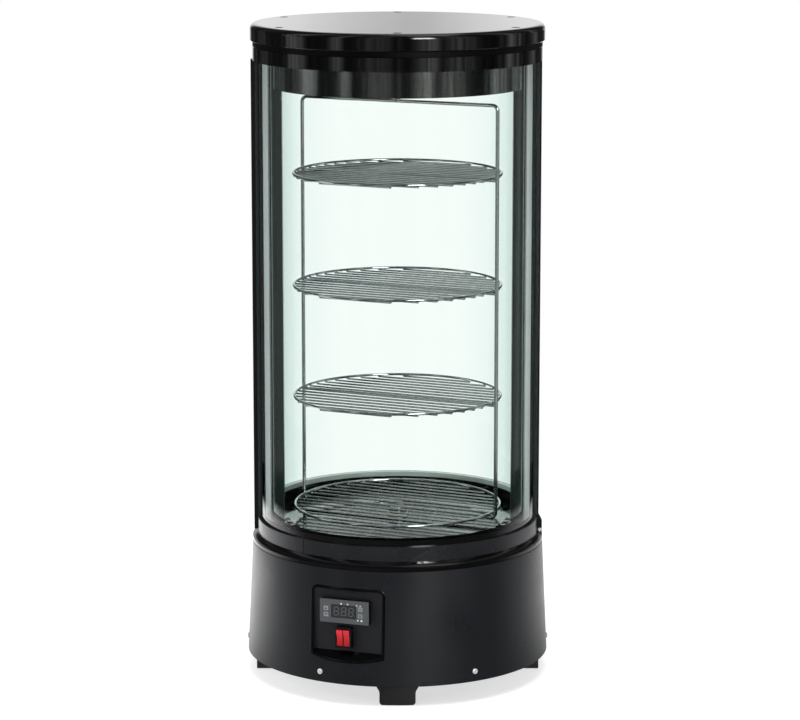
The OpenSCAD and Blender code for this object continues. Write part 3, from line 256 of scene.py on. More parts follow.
# Feet
# Four moulded feet of black ABS, screwed under the pan. The mould leaves a fine spark-eroded grain
# that breaks up the shine.
def grained(name, dark, light, roughness, grain_mm, relief_mm, patch_mm=70, specular=0.5):
    """A moulded or coated finish. Colour and roughness drift with a soft noise whose patches are
    patch_mm across, and a second noise with crests grain_mm apart lifts the surface by
    relief_mm."""
    made, tree = blank(name)
    at = add(tree, "TexCoord").outputs["Object"]
    drift = add(tree, "TexNoise",
        {"Vector": at, "Scale": 1000 / patch_mm, "Detail": 3.0}).outputs[0]
    tone = add(tree, "Mix", {0: drift, 6: linear(dark), 7: linear(light)}, data_type="RGBA")
    worn = add(tree, "MapRange",
        {0: drift, 1: 0.3, 2: 0.7, 3: roughness * 0.85, 4: roughness * 1.15})
    grain = add(tree, "TexNoise", {"Vector": at, "Scale": 1000 / grain_mm, "Detail": 2.0})
    lift = add(tree, "Bump",
        {"Height": grain.outputs[0], "Distance": relief_mm / 1000, "Strength": 1.0})
    shade = add(tree, "BsdfPrincipled", {"Base Color": tone.outputs[2],
        "Roughness": worn.outputs[0], "Normal": lift.outputs[0], "Specular IOR Level": specular})
    add(tree, "OutputMaterial", {0: shade.outputs[0]})
    return made


def dress(material, *names):
    """Gives the named CAD pieces this material in every slot."""
    for name in names:
        for place in parts[name].material_slots:
            place.material = material


dress(grained("moulded_foot_abs", "#121214", "#1b1b1e", 0.42, grain_mm=1.2, relief_mm=0.02), "feet")

# Base pan and brackets
# Galvanised sheet, pressed. Its zinc has frozen in flakes a few millimetres across that take the
# light differently: each cell of a Voronoi pattern has its own tone and roughness.
flake_mm = 6
galvanised, t = blank("galvanised_sheet")
at = add(t, "TexCoord").outputs["Object"]
flake = add(t, "TexVoronoi", {"Vector": at, "Scale": 1000 / flake_mm})
cell = add(t, "SeparateXYZ", {0: flake.outputs["Color"]}).outputs
tone = add(t, "Mix", {0: cell["X"], 6: linear("#8f9598"), 7: linear("#b4babc")}, data_type="RGBA")
worn = add(t, "MapRange", {0: cell["Y"], 3: 0.32, 4: 0.5})
shade = add(t, "BsdfPrincipled",
    {"Base Color": tone.outputs[2], "Roughness": worn.outputs[0], "Metallic": 1.0})
add(t, "OutputMaterial", {0: shade.outputs[0]})
dress(galvanised, "base_pan", "condenser_fan_housing", "evaporator_fan_plate", "head_plate")

# Skirt
# Rolled steel drum with its vent slots punched at the back, powder coated satin black. The powder
# melts into a faint orange peel about 2 mm from crest to crest.
skirt_foot_r, skirt_top_r, skirt_low, skirt_high = 225, 217, 31, 200  # mm
lean = math.atan((skirt_foot_r - skirt_top_r) / (skirt_high - skirt_low))


def skirt_at(z):
    """Radius of the skirt's outside in mm at height z in mm: it widens evenly towards its foot."""
    return skirt_top_r + (skirt_foot_r - skirt_top_r) * (skirt_high - z) / (skirt_high - skirt_low)


dress(grained("satin_black_powder", "#131519", "#181a1e", 0.3, grain_mm=2.2, relief_mm=0.006,
    patch_mm=90), "base_skirt")


# Zinc-plated pan screws
# Seven pan-head screws with a cross recess: six round the skirt's foot and one in the hinge
# bracket. Cold-forged and zinc plated, so the dome is bright and the recess dark.
def many(name, template, faces, places):
    """Copies of one small shape: its points (n, 3), its faces as one array for each number of
    corners, and the places (m, 4, 4) that carry the copies to their seats."""
    homog = np.concatenate([template, np.ones((len(template), 1))], 1)
    points = np.einsum("mij,nj->mni", np.asarray(places, float), homog)[..., :3]
    shift = np.arange(len(places))[:, None, None] * len(template)
    placed = []
    for group in faces:
        placed += (group + shift).reshape(-1, group.shape[1]).tolist()
    made = bpy.data.meshes.new(name)
    made.from_pydata(points.reshape(-1, 3).tolist(), [], placed)
    made.polygons.foreach_set("use_smooth", [True] * len(placed))
    made.update()
    return made


def piece(name, mesh, body, material):
    """A finished piece at the origin that rides on a body of the frame."""
    made = bpy.data.objects.new(name, mesh)
    bpy.context.scene.collection.objects.link(made)
    mesh.materials.append(material)
    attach(made, body)
    return made


def cross_head(radius, height, recess, arm):
    """Points and faces of a domed head. A square grid is squeezed onto a disc: x = u sqrt(1 - v v /
    2), y = v sqrt(1 - u u / 2). The dome is a sphere's cap, and a cross of two bars, each arm wide
    and four arms long, is pushed in by recess with soft edges. A flat grid closes it below."""
    n = 23
    u, v = np.meshgrid(np.linspace(-1, 1, n), np.linspace(-1, 1, n), indexing="ij")
    x, y = radius * u * np.sqrt(1 - v * v / 2), radius * v * np.sqrt(1 - u * u / 2)
    ball = 1.6 * radius
    z = height - ball + np.sqrt(ball ** 2 - x * x - y * y)
    bars = [np.clip((arm * 0.62 - np.abs(a)) / (arm * 0.25), 0, 1)
        * np.clip((2 * arm - np.abs(b)) / (arm * 0.8), 0, 1) for a, b in ((x, y), (y, x))]
    z = z - recess * np.maximum(*bars)
    top = np.stack([x, y, z], -1).reshape(-1, 3)
    i, j = (g.ravel() for g in np.meshgrid(np.arange(n - 1), np.arange(n - 1), indexing="ij"))
    quads = np.stack([i * n + j, (i + 1) * n + j, (i + 1) * n + j + 1, i * n + j + 1], 1)
    edge = np.concatenate([np.arange(n) * n, (n - 1) * n + np.arange(1, n),
        (n - 2 - np.arange(n - 1)) * n + n - 1, n - 2 - np.arange(n - 2)])
    after = np.roll(edge, -1)
    wall = np.stack([edge, edge + n * n, after + n * n, after], 1)
    points = np.concatenate([top, top * (1, 1, 0)])
    return points, [np.concatenate([quads, quads[:, ::-1] + n * n, wall])]


def axes_at(spot, x, y, z):
    """Placing matrix with the given axes as columns, at spot."""
    return [[x[i], y[i], z[i], spot[i]] for i in range(3)] + [[0, 0, 0, 1]]


def clouded(name, dark, light, clouds_per_m, smooth, rough, metallic=0.0, specular=0.5, detail=3.0):
    """A plated or blackened steel. A noise with clouds_per_m clouds to the metre drifts its colour
    from dark to light and its roughness from smooth to rough."""
    made, tree = blank(name)
    at = add(tree, "TexCoord").outputs["Object"]
    cloud = add(tree, "TexNoise",
        {"Vector": at, "Scale": clouds_per_m, "Detail": detail}).outputs[0]
    tone = add(tree, "Mix", {0: cloud, 6: linear(dark), 7: linear(light)}, data_type="RGBA")
    worn = add(tree, "MapRange", {0: cloud, 3: smooth, 4: rough})
    shade = add(tree, "BsdfPrincipled", {"Base Color": tone.outputs[2],
        "Roughness": worn.outputs[0], "Metallic": metallic, "Specular IOR Level": specular})
    add(tree, "OutputMaterial", {0: shade.outputs[0]})
    return made


screw_z, screw_lift = 46, 0.1  # mm
screw_r = skirt_at(screw_z)
places = []
for turn in np.radians(60 * np.arange(6) - 240):
    x, y = math.cos(turn), math.sin(turn)
    out = np.array([x * math.cos(lean), y * math.cos(lean), math.sin(lean)])
    seat = (np.array([screw_r * x, screw_r * y, screw_z]) + out * screw_lift) / 1000
    along = np.array([-y, x, 0])
    places.append(axes_at(seat, along, np.cross(out, along), out))
head, faces = cross_head(radius=0.004, height=0.0026, recess=0.0013, arm=0.0011)
# Zinc reads as pale grey at this size, more than as a mirror, so it is only partly metallic.
zinc = clouded("zinc_plated_steel", "#d8dbdb", "#f8f9f9", clouds_per_m=900, smooth=0.18,
    rough=0.34, metallic=0.3)
screws = piece("pan_head_screws", many("pan_head_screws", head, faces, places), "cabinet", zinc)
bracket_seat = axes_at((0.213, -0.00605, 0.211), (1, 0, 0), (0, 0, 1), (0, -1, 0))
head, faces = cross_head(radius=0.003, height=0.00195, recess=0.001, arm=0.0009)
piece("bracket_screw", many("bracket_screw", head, faces, [bracket_seat]), "cabinet", zinc)
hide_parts("pan_screws")

# Mains gland and terminal box
# A threaded nylon gland in the back of the skirt, dull from its mould, and a grey moulded box for
# the joints of the wiring, screwed to the pan.
dress(grained("gland_nylon", "#101011", "#18181a", 0.5, grain_mm=0.9, relief_mm=0.015),
    "mains_gland")
dress(grained("grey_box_plastic", "#c3c5c7", "#d0d2d3", 0.45, grain_mm=1.0, relief_mm=0.02),
    "terminal_box")

# Compressor on its mounts
# A welded steel can in black stove enamel, which runs into a shiny orange peel, on four mounts of
# soft, matt rubber.
dress(grained("stove_enamel", "#17181a", "#24262a", 0.28, grain_mm=3.0, relief_mm=0.02,
    patch_mm=40), "compressor")
dress(grained("soft_rubber", "#0d0d0d", "#161616", 0.75, grain_mm=0.8, relief_mm=0.03),
    "compressor_mounts")


# Condenser, evaporator and pipework
# Aluminium fins pressed on tubes, and soft copper pipe with a drawn, slightly tarnished surface,
# brazed to them.
def drawn(name, dark, light, roughness, grain_mm):
    """Bare drawn or pressed metal. A noise stretched four times along Z drifts tone and shine."""
    made, tree = blank(name)
    at = add(tree, "TexCoord").outputs["Object"]
    long = add(tree, "Mapping", {"Vector": at, "Scale": (1.0, 1.0, 0.25)}).outputs[0]
    drift = add(tree, "TexNoise",
        {"Vector": long, "Scale": 1000 / grain_mm, "Detail": 4.0}).outputs[0]
    tone = add(tree, "Mix", {0: drift, 6: linear(dark), 7: linear(light)}, data_type="RGBA")
    worn = add(tree, "MapRange",
        {0: drift, 1: 0.3, 2: 0.7, 3: roughness * 0.75, 4: roughness * 1.25})
    shade = add(tree, "BsdfPrincipled",
        {"Base Color": tone.outputs[2], "Roughness": worn.outputs[0], "Metallic": 1.0})
    add(tree, "OutputMaterial", {0: shade.outputs[0]})
    return made


dress(drawn("pressed_fins", "#b7bcbe", "#d5d9da", 0.3, grain_mm=5), "condenser_coil",
    "evaporator_coil")
dress(drawn("soft_copper", "#a4603f", "#c98962", 0.28, grain_mm=6), "refrigerant_lines")

# Fans
# Moulded in pale grey polypropylene and pressed on the motors' shafts. The plastic is a little
# waxy, so its shine is soft.
dress(grained("waxy_polypropylene", "#b9bfc3", "#c9ced1", 0.38, grain_mm=1.5, relief_mm=0.01),
    "condenser_fan", "evaporator_fan")

# Evaporator box
# Vacuum-formed white polystyrene round the cold coil. Drawing the hot sheet leaves it smooth, with
# a slight orange peel.
dress(grained("formed_polystyrene", "#d7d9da", "#e3e5e5", 0.4, grain_mm=2.5, relief_mm=0.03),
    "evaporator_box")

# Foam
# Polyurethane poured behind the deck and the ceiling; it is open-celled where it was trimmed, so
# it is dull and pitted.
cells_per_m, pit_mm = 700, 0.6
foam, t = blank("poured_polyurethane")
at = add(t, "TexCoord").outputs["Object"]
pits = add(t, "TexVoronoi", {"Vector": at, "Scale": cells_per_m}).outputs["Distance"]
tone = add(t, "Mix", {0: pits, 6: linear("#ead9a0"), 7: linear("#cbb678")}, data_type="RGBA")
lift = add(t, "Bump", {"Height": pits, "Distance": pit_mm / 1000, "Strength": 0.8})
shade = add(t, "BsdfPrincipled",
    {"Base Color": tone.outputs[2], "Roughness": 0.9, "Normal": lift.outputs[0]})
add(t, "OutputMaterial", {0: shade.outputs[0]})
dress(foam, "foam_insulation")

# Rack drive
# Die-cast gear case with a dull skin, a bright ground steel shaft and two bushes turned from
# natural nylon, which is cream and half shiny.
dress(drawn("cast_alloy", "#83878a", "#9a9ea1", 0.42, grain_mm=4), "rack_gearmotor")
dress(drawn("ground_shaft", "#b2b7ba", "#cdd1d3", 0.22, grain_mm=2), "drive_shaft")
dress(grained("natural_nylon", "#dcd6c2", "#e8e3d2", 0.4, grain_mm=1.2, relief_mm=0.015),
    "rack_bushes")

# Control panel
# A flat panel set into the skirt, moulded in ABS: its face has a fine grain, and its walls and
# sloping sill are polished and painted near black, partly their own black and partly painted shade
# in the recess. A polished black trim covers the edge of the skirt's opening; its black is partly
# painted shade in the gap there. Sizes are in mm.
pocket_half, pocket_low, pocket_high, pocket_round = 55, 78, 171.5, 9
panel_turn, panel_sunk = -math.radians(19.7), 0.8
panel_far = math.sqrt(skirt_at(pocket_high) ** 2 - pocket_half ** 2) - panel_sunk
across = np.array([math.cos(panel_turn), math.sin(panel_turn), 0])
inward = np.array([-math.sin(panel_turn), math.cos(panel_turn), 0])
upward = np.array([0, 0, 1])


def beyond(tree, at, out_mm):
    """1 where the surface stands further out than out_mm from the case's axis, measured the way the
    panel faces: the dot product of the place with that direction is the greater."""
    reach = add(tree, "VectorMath", {0: at, 1: tuple(-inward)}, operation="DOT_PRODUCT")
    return add(tree, "Math", {0: reach.outputs["Value"], 1: out_mm / 1000},
        operation="GREATER_THAN").outputs[0]


satin_up_to, panel_patches_per_m, panel_grains_per_m, panel_relief_mm = 0.5, 16, 700, 0.01
panel_abs, t = blank("panel_abs")
at = add(t, "TexCoord").outputs["Object"]
polished = beyond(t, at, panel_far + satin_up_to)
drift = add(t, "TexNoise", {"Vector": at, "Scale": panel_patches_per_m, "Detail": 3.0}).outputs[0]
satin = add(t, "Mix", {0: drift, 6: linear("#1f2024"), 7: linear("#25262a")}, data_type="RGBA")
# Beyond the face the ABS is polished and painted near black: partly its own black, partly painted
# shade on the recess's walls and sill.
tone = add(t, "Mix", {0: polished, 6: satin.outputs[2], 7: linear("#050506")}, data_type="RGBA")
worn = add(t, "MapRange", {0: polished, 3: 0.34, 4: 0.08})
grain = add(t, "TexNoise", {"Vector": at, "Scale": panel_grains_per_m, "Detail": 2.0}).outputs[0]
depth = add(t, "MapRange", {0: polished, 3: 0.8, 4: 0.0})
lift = add(t, "Bump",
    {"Height": grain, "Distance": panel_relief_mm / 1000, "Strength": depth.outputs[0]})
shade = add(t, "BsdfPrincipled", {"Base Color": tone.outputs[2], "Roughness": worn.outputs[0],
    "Normal": lift.outputs[0], "Specular IOR Level": 0.4})
add(t, "OutputMaterial", {0: shade.outputs[0]})
dress(panel_abs, "control_panel")


def trim_path():
    """The opening's outline in panel x and z in mm, clockwise: up the left side, round the upper
    corners, down the right side, and back along the sill's edge. There the sloping sill meets the
    skirt, where z = pocket_low + panel_far - sqrt(skirt_at(z) squared - x squared), which a few
    rounds settle."""
    steps, corner_steps, rounds = 24, 9, 8
    arc = np.radians(np.linspace(180, 90, corner_steps))
    upper = np.array([pocket_round - pocket_half, pocket_high - pocket_round])
    upper = upper + pocket_round * np.stack([np.cos(arc), np.sin(arc)], 1)
    x = np.linspace(-pocket_half, pocket_half, steps)
    z = np.full(steps, float(pocket_low))
    for _ in range(rounds):
        z = pocket_low + panel_far - np.sqrt(skirt_at(z) ** 2 - x ** 2)
    side = np.stack([np.full(steps, -pocket_half), np.linspace(z[0], upper[0, 1], steps)], 1)
    head = np.stack([np.linspace(upper[-1, 0], 0, steps), np.full(steps, pocket_high)], 1)
    half = np.concatenate([side[1:-1], upper, head[1:-1]])
    return np.concatenate([half, (half * (-1, 1))[::-1], np.stack([x, z], 1)[::-1]])


def swept_trim(name, path, wide, proud, under):
    """A closed bead along a path of panel x and z on the skirt, in mm. Its section is an ellipse
    with half axes wide along the surface, proud outwards and under inwards: offset = wide cos(a)
    side + (proud or under) sin(a) out."""
    x, z = path.T
    out_y = np.sqrt(skirt_at(z) ** 2 - x ** 2)
    spots = x[:, None] * across - out_y[:, None] * inward + z[:, None] * upward
    out = spots * (1, 1, 0) / np.hypot(spots[:, 0], spots[:, 1])[:, None] + upward * math.tan(lean)
    out /= np.linalg.norm(out, axis=1)[:, None]
    side = np.cross(np.roll(spots, -1, 0) - np.roll(spots, 1, 0), out)
    side /= np.linalg.norm(side, axis=1)[:, None]
    a = np.linspace(0, 2 * math.pi, 13)[:-1]
    reach = wide[:, None] * np.cos(a)
    rise = np.where(np.sin(a) > 0, proud[:, None] * np.sin(a), under * np.sin(a))
    grid = spots[:, None] + reach[..., None] * side[:, None] + rise[..., None] * out[:, None]
    rows, cols = grid.shape[:2]
    i, j = np.meshgrid(np.arange(rows), np.arange(cols), indexing="ij")
    ni, nj = (i + 1) % rows, (j + 1) % cols
    quads = np.stack([i * cols + j, ni * cols + j, ni * cols + nj, i * cols + nj], -1)
    made = bpy.data.meshes.new(name)
    made.from_pydata((grid / 1000).reshape(-1, 3).tolist(), [], quads.reshape(-1, 4).tolist())
    made.polygons.foreach_set("use_smooth", [True] * (rows * cols))
    made.update()
    return made


# Along the sill the bead is wider and prouder. It grows over a height of sill_fade.
trim_wide, trim_proud, trim_under = 2.1, 0.4, 0.4
sill_wider, sill_prouder, sill_above, sill_fade = 0.3, 1.4, 8, 14
trim = trim_path()
low = np.clip((pocket_low + sill_above - trim[:, 1]) / sill_fade, 0, 1)
# The trim is near black with a weak shine: partly a polished black trim, partly painted shade for
# the dark gap round the opening.
gloss_trim_and_gap_shade = grained("polished_trim_and_gap_shade", "#020203", "#040405", 0.07, grain_mm=30, relief_mm=0.01,
    patch_mm=80, specular=0.25)
piece("panel_trim_and_gap_shade", swept_trim("panel_trim_and_gap_shade", trim, trim_wide + sill_wider * low,
    trim_proud + sill_prouder * low, trim_under), "cabinet", gloss_trim_and_gap_shade)

# Thermostat
# A panel thermostat: a grey ABS face with a fine moulded grain on a housing whose sides are painted
# near black, partly the housing's own black and partly painted shade, a dark line round the display
# window, an unlit three-digit display behind it, and printed signs.
face_x, face_z, face_proud, face_depth = -2.9, 138.1, 9.5, 0.9


def on_panel(x, y, z):
    """Panel coordinates in mm to metres in the frame: x across + (y - panel_far) inward + z upward.
    The arrays x and z run to the viewer's right and up, and y is inward from the panel's plane."""
    return (x[:, None] * across + (y - panel_far) * inward + z[:, None] * upward) / 1000


def prisms(name, outlines, plane, proud, sunk):
    """Flat signs as shallow prisms. Each outline is an (n, 2) array of panel x and z, run clockwise
    as seen from the front. It stands proud of the plane y = plane and its back is sunk in it."""
    points, faces, base = [], [], 0
    for outline in outlines:
        x, z = np.asarray(outline, float).T
        n = len(x)
        points.append(np.concatenate([on_panel(x, plane - proud, z), on_panel(x, plane + sunk, z)]))
        k = np.arange(n)
        faces += [(base + k[::-1]).tolist(), (base + n + k).tolist()]
        faces += (base + np.stack([k, (k + 1) % n, (k + 1) % n + n, k + n], 1)).tolist()
        base += 2 * n
    made = bpy.data.meshes.new(name)
    made.from_pydata(np.concatenate(points).tolist(), [], faces)
    made.update()
    return made


def box_outline(x0, x1, z0, z1):
    """Corners of an upright rectangle, clockwise from the lower left."""
    return np.array([(x0, z0), (x0, z1), (x1, z1), (x1, z0)])


def disc_outline(x, z, r):
    """Circle of 16 points, clockwise."""
    a = -np.linspace(0, 2 * math.pi, 16, endpoint=False)
    return np.stack([x + r * np.cos(a), z + r * np.sin(a)], 1)


def bow_outline(x, z, r_out, r_in, from_deg, to_deg, n):
    """An open ring, clockwise: back along its inner edge and out along its outer one, n points
    each."""
    a = np.radians(np.linspace(from_deg, to_deg, n))
    rim = np.concatenate([r_out * np.stack([np.cos(a), np.sin(a)], 1),
        r_in * np.stack([np.cos(a), np.sin(a)], 1)[::-1]])
    return (rim + (x, z))[::-1]


def arm_outline(x, z, turn, half_long, half_wide):
    """A bar through (x, z), leaning by turn from the level, clockwise."""
    a, b = half_long * np.array([-1, 1, 1, -1]), half_wide * np.array([-1, -1, 1, 1])
    return np.stack([x + a * math.cos(turn) - b * math.sin(turn),
        z + a * math.sin(turn) + b * math.cos(turn)], 1)[::-1]


def seven_bars(x, z, w, h, thick, slant):
    """The seven bars of a digit, each a six-sided bar with pointed ends, leaning by slant per unit
    of height: rows at -h, 0 and h, and columns at -w and w."""
    gap = 0.3
    tip, blunt = w - gap, w - gap - thick
    level = np.array([(-tip, 0), (-blunt, thick), (blunt, thick), (tip, 0), (blunt, -thick),
        (-blunt, -thick)])
    low, high = gap + thick, h - gap - thick
    rise = np.array([(0, gap), (-thick, low), (-thick, high), (0, h - gap), (thick, high),
        (thick, low)])
    bars = [level + (0, k * h) for k in (-1, 0, 1)]
    bars += [rise + (hand * w, k * h) for hand in (-1, 1) for k in (-1, 0)]
    return [b + np.stack([x + slant * b[:, 1], np.full(6, z)], 1) for b in bars]


face_patches_per_m, face_grains_per_m, face_relief_mm = 25, 1100, 0.012
controller_abs, t = blank("grey_controller_abs")
at = add(t, "TexCoord").outputs["Object"]
front = beyond(t, at, panel_far + face_proud - face_depth)
drift = add(t, "TexNoise", {"Vector": at, "Scale": face_patches_per_m, "Detail": 3.0}).outputs[0]
grey = add(t, "Mix", {0: drift, 6: linear("#4e5154"), 7: linear("#585b5e")}, data_type="RGBA")
# Behind the face it is painted near black: partly the housing's own black, partly painted shade on
# its sides.
tone = add(t, "Mix", {0: front, 6: linear("#050506"), 7: grey.outputs[2]}, data_type="RGBA")
grain = add(t, "TexNoise", {"Vector": at, "Scale": face_grains_per_m, "Detail": 2.0}).outputs[0]
lift = add(t, "Bump", {"Height": grain, "Distance": face_relief_mm / 1000, "Strength": 1.0})
shade = add(t, "BsdfPrincipled",
    {"Base Color": tone.outputs[2], "Roughness": 0.42, "Normal": lift.outputs[0]})
add(t, "OutputMaterial", {0: shade.outputs[0]})
dress(controller_abs, "thermostat")

# The window is a smoked lens, whose shine is sharp. Its border and the unlit bars are matt prints.
dress(grained("smoked_lens", "#2b2e30", "#323537", 0.16, grain_mm=3.0, relief_mm=0.002),
    "display_window")
window_x, window_z, window_half_w, window_half_h, line = face_x - 0.9, face_z + 0.2, 18.5, 9.0, 0.7
x0, x1 = window_x - window_half_w, window_x + window_half_w
z0, z1 = window_z - window_half_h, window_z + window_half_h
border = [box_outline(x0 - line, x0, z0 - line, z1 + line),
    box_outline(x1, x1 + line, z0 - line, z1 + line),
    box_outline(x0, x1, z1, z1 + line), box_outline(x0, x1, z0 - line, z0)]
print_black = grained("printed_black", "#0b0c0d", "#101112", 0.5, grain_mm=0.8, relief_mm=0.003)
piece("window_border", prisms("window_border", border, -face_proud, proud=0.08, sunk=0.3),
    "cabinet", print_black)

digit_x = window_x + 11.4 * np.array([-1, 0, 1])
digits = [bar for x in digit_x
    for bar in seven_bars(x, window_z, w=3.3, h=6.0, thick=0.75, slant=0.08)]
digits += [disc_outline(x + 5.2, window_z - 6.0, 0.6) for x in digit_x]
unlit = grained("unlit_display", "#4d5051", "#565959", 0.35, grain_mm=0.8, relief_mm=0.002)
piece("display_bars", prisms("display_bars", digits, -face_proud, proud=0.04, sunk=0.1), "cabinet",
    unlit)

# White signs printed on the face: a dot and a star above the window, a bow and a dot for the
# degrees, and two dots below. Their places are from the middle of the face.
print_white = grained("printed_white", "#dfe3e3", "#eef1f1", 0.5, grain_mm=0.8, relief_mm=0.003)
signs = [disc_outline(face_x - 4.7, face_z + 11.6, 1.35)]
signs += [arm_outline(face_x + 5.3, face_z + 11.6, turn, 1.5, 0.28)
    for turn in np.radians([0, 60, 120])]
signs += [bow_outline(face_x + 19.7, face_z + 10.6, 1.5, 0.9, 50, 310, 12),
    disc_outline(face_x + 24.6, face_z + 10.5, 1.0),
    disc_outline(face_x + 21.0, face_z - 11.2, 1.25),
    disc_outline(face_x + 26.6, face_z - 11.2, 1.5)]
piece("printed_signs", prisms("printed_signs", signs, -face_proud, proud=0.05, sunk=0.2),
    "cabinet", print_white)

# Push buttons
# Four small caps in a lighter grey ABS, moulded with a fine grain, with their signs printed in
# black: up and down on the left, a ring for set and three bars for defrost on the right.
dress(grained("button_abs", "#8b8e90", "#989b9c", 0.4, grain_mm=0.8, relief_mm=0.01, patch_mm=20),
    "button_up", "button_down", "button_set", "button_defrost")
cap_front = -face_proud - 0.6
left_x, right_x = face_x - 28.0, face_x + 24.9
up_z, down_z, set_z, defrost_z = face_z + 2.3, face_z - 4.3, face_z + 5.4, face_z - 4.4
mark_half, mark_high = 2.0, 2.9
for name, body, outlines in (
        ("up_mark", "button_up", [[(left_x - mark_half, up_z), (left_x, up_z + mark_high),
            (left_x + mark_half, up_z)]]),
        ("down_mark", "button_down", [[(left_x - mark_half, down_z), (left_x + mark_half, down_z),
            (left_x, down_z - mark_high)]]),
        ("set_mark", "button_set", [bow_outline(right_x, set_z, 1.9, 1.25, 120, 420, 18),
            box_outline(right_x - 0.3, right_x + 0.3, set_z + 0.5, set_z + 2.6)]),
        ("defrost_mark", "button_defrost", [box_outline(right_x - 2.2, right_x + 2.2,
            defrost_z + k - 0.35, defrost_z + k + 0.35) for k in (-1.5, 0, 1.5)])):
    piece(name, prisms(name, outlines, cap_front, proud=0.05, sunk=0.1), body, print_black)

# Mains switch
# A double rocker switch: gloss black housing and two rockers of clear red polycarbonate, snapped
# in. They pass light, and their red is painted lighter towards their tops: a painted highlight for
# the light that falls on them from above.
dress(grained("switch_gloss_black", "#08090a", "#0e0f10", 0.18, grain_mm=3.0, relief_mm=0.004),
    "switch_housing")
rocker_low, rocker_high, ripple_mm, ripple_relief_mm = 0.09, 0.108, 6.25, 0.05
red, t = blank("red_polycarbonate")
at = add(t, "TexCoord").outputs["Object"]
ripple = add(t, "TexNoise", {"Vector": at, "Scale": 1000 / ripple_mm, "Detail": 2.0})
height = add(t, "SeparateXYZ", {0: at}).outputs["Z"]
# The red runs from dark at the foot to light at the top: a painted highlight.
painted_top_light = add(t, "MapRange", {0: height, 1: rocker_low, 2: rocker_high}).outputs[0]
tone = add(t, "Mix", {0: painted_top_light, 6: linear("#b30f19"), 7: linear("#e5333f")},
    data_type="RGBA")
lift = add(t, "Bump",
    {"Height": ripple.outputs[0], "Distance": ripple_relief_mm / 1000, "Strength": 1.0})
shade = add(t, "BsdfPrincipled", {"Base Color": tone.outputs[2], "Roughness": 0.16, "IOR": 1.58,
    "Subsurface Weight": 0.2, "Subsurface Radius": (0.004, 0.0008, 0.0008),
    "Subsurface Scale": 1.0, "Coat Weight": 0.5, "Coat Roughness": 0.05,
    "Normal": lift.outputs[0]})
add(t, "OutputMaterial", {0: shade.outputs[0]})
dress(red, "rocker_left", "rocker_right")

# Deck, rim and cove
# One moulding in gloss black ABS round the top of the drum. It is polished in the mould, so only a
# long, faint wave is left in it.
dress(grained("polished_deck_abs", "#060607", "#09090b", 0.1, grain_mm=40, relief_mm=0.03,
    patch_mm=120, specular=0.3), "base_deck")

# Floor of the chamber
# A tray of plain aluminium under a floor plate of mirror-polished stainless steel, wiped along one
# direction, so that its reflections are a little drawn out.
dress(drawn("mill_aluminium", "#a9adaf", "#c2c5c6", 0.35, grain_mm=8), "floor_tray")
wipes_per_m = 900
mirror_steel, t = blank("mirror_polished_steel")
at = add(t, "TexCoord").outputs["Object"]
wiped = add(t, "Mapping", {"Vector": at, "Scale": (1.0, 0.04, 1.0)}).outputs[0]
lines = add(t, "TexNoise", {"Vector": wiped, "Scale": wipes_per_m, "Detail": 2.0}).outputs[0]
tone = add(t, "Mix", {0: lines, 6: linear("#5f6663"), 7: linear("#6d7471")}, data_type="RGBA")
worn = add(t, "MapRange", {0: lines, 3: 0.05, 4: 0.12})
shade = add(t, "BsdfPrincipled",
    {"Base Color": tone.outputs[2], "Roughness": worn.outputs[0], "Metallic": 1.0})
add(t, "OutputMaterial", {0: shade.outputs[0]})
dress(mirror_steel, "floor_plate")

# Front rail
# A rolled steel channel in two lengths that holds the foot of the fixed glass, in satin black. Dark
# sealant fills the joint between them, left of the middle, drawn wider than it is so that it shows.
rail_powder = grained("rail_black_powder", "#1b1c20", "#222327", 0.28, grain_mm=2.0,
    relief_mm=0.004, patch_mm=60)
t = rail_powder.node_tree
coat = t.nodes["Principled BSDF"].inputs
joint_turn, joint_edge, joint_full = math.radians(-41), 0.0011, 0.0007
at = add(t, "TexCoord").outputs["Object"]
aside = add(t, "VectorMath", {0: at, 1: (math.cos(joint_turn), math.sin(joint_turn), 0)},
    operation="DOT_PRODUCT").outputs["Value"]
aside = add(t, "Math", {0: aside}, operation="ABSOLUTE").outputs[0]
filled = add(t, "MapRange", {0: aside, 1: joint_edge, 2: joint_full}).outputs[0]
left = add(t, "SeparateXYZ", {0: at}).outputs["X"]
left = add(t, "Math", {0: left, 1: 0.0}, operation="LESS_THAN").outputs[0]
filled = add(t, "Math", {0: filled, 1: left}, operation="MULTIPLY").outputs[0]
tone = add(t, "Mix", {0: filled, 6: coat["Base Color"].links[0].from_socket, 7: linear("#010101")},
    data_type="RGBA")
worn = add(t, "Mix", {0: filled, 2: coat["Roughness"].links[0].from_socket, 3: 0.9})
t.links.new(tone.outputs[2], coat["Base Color"])
t.links.new(worn.outputs[0], coat["Roughness"])
dress(rail_powder, "front_rail")


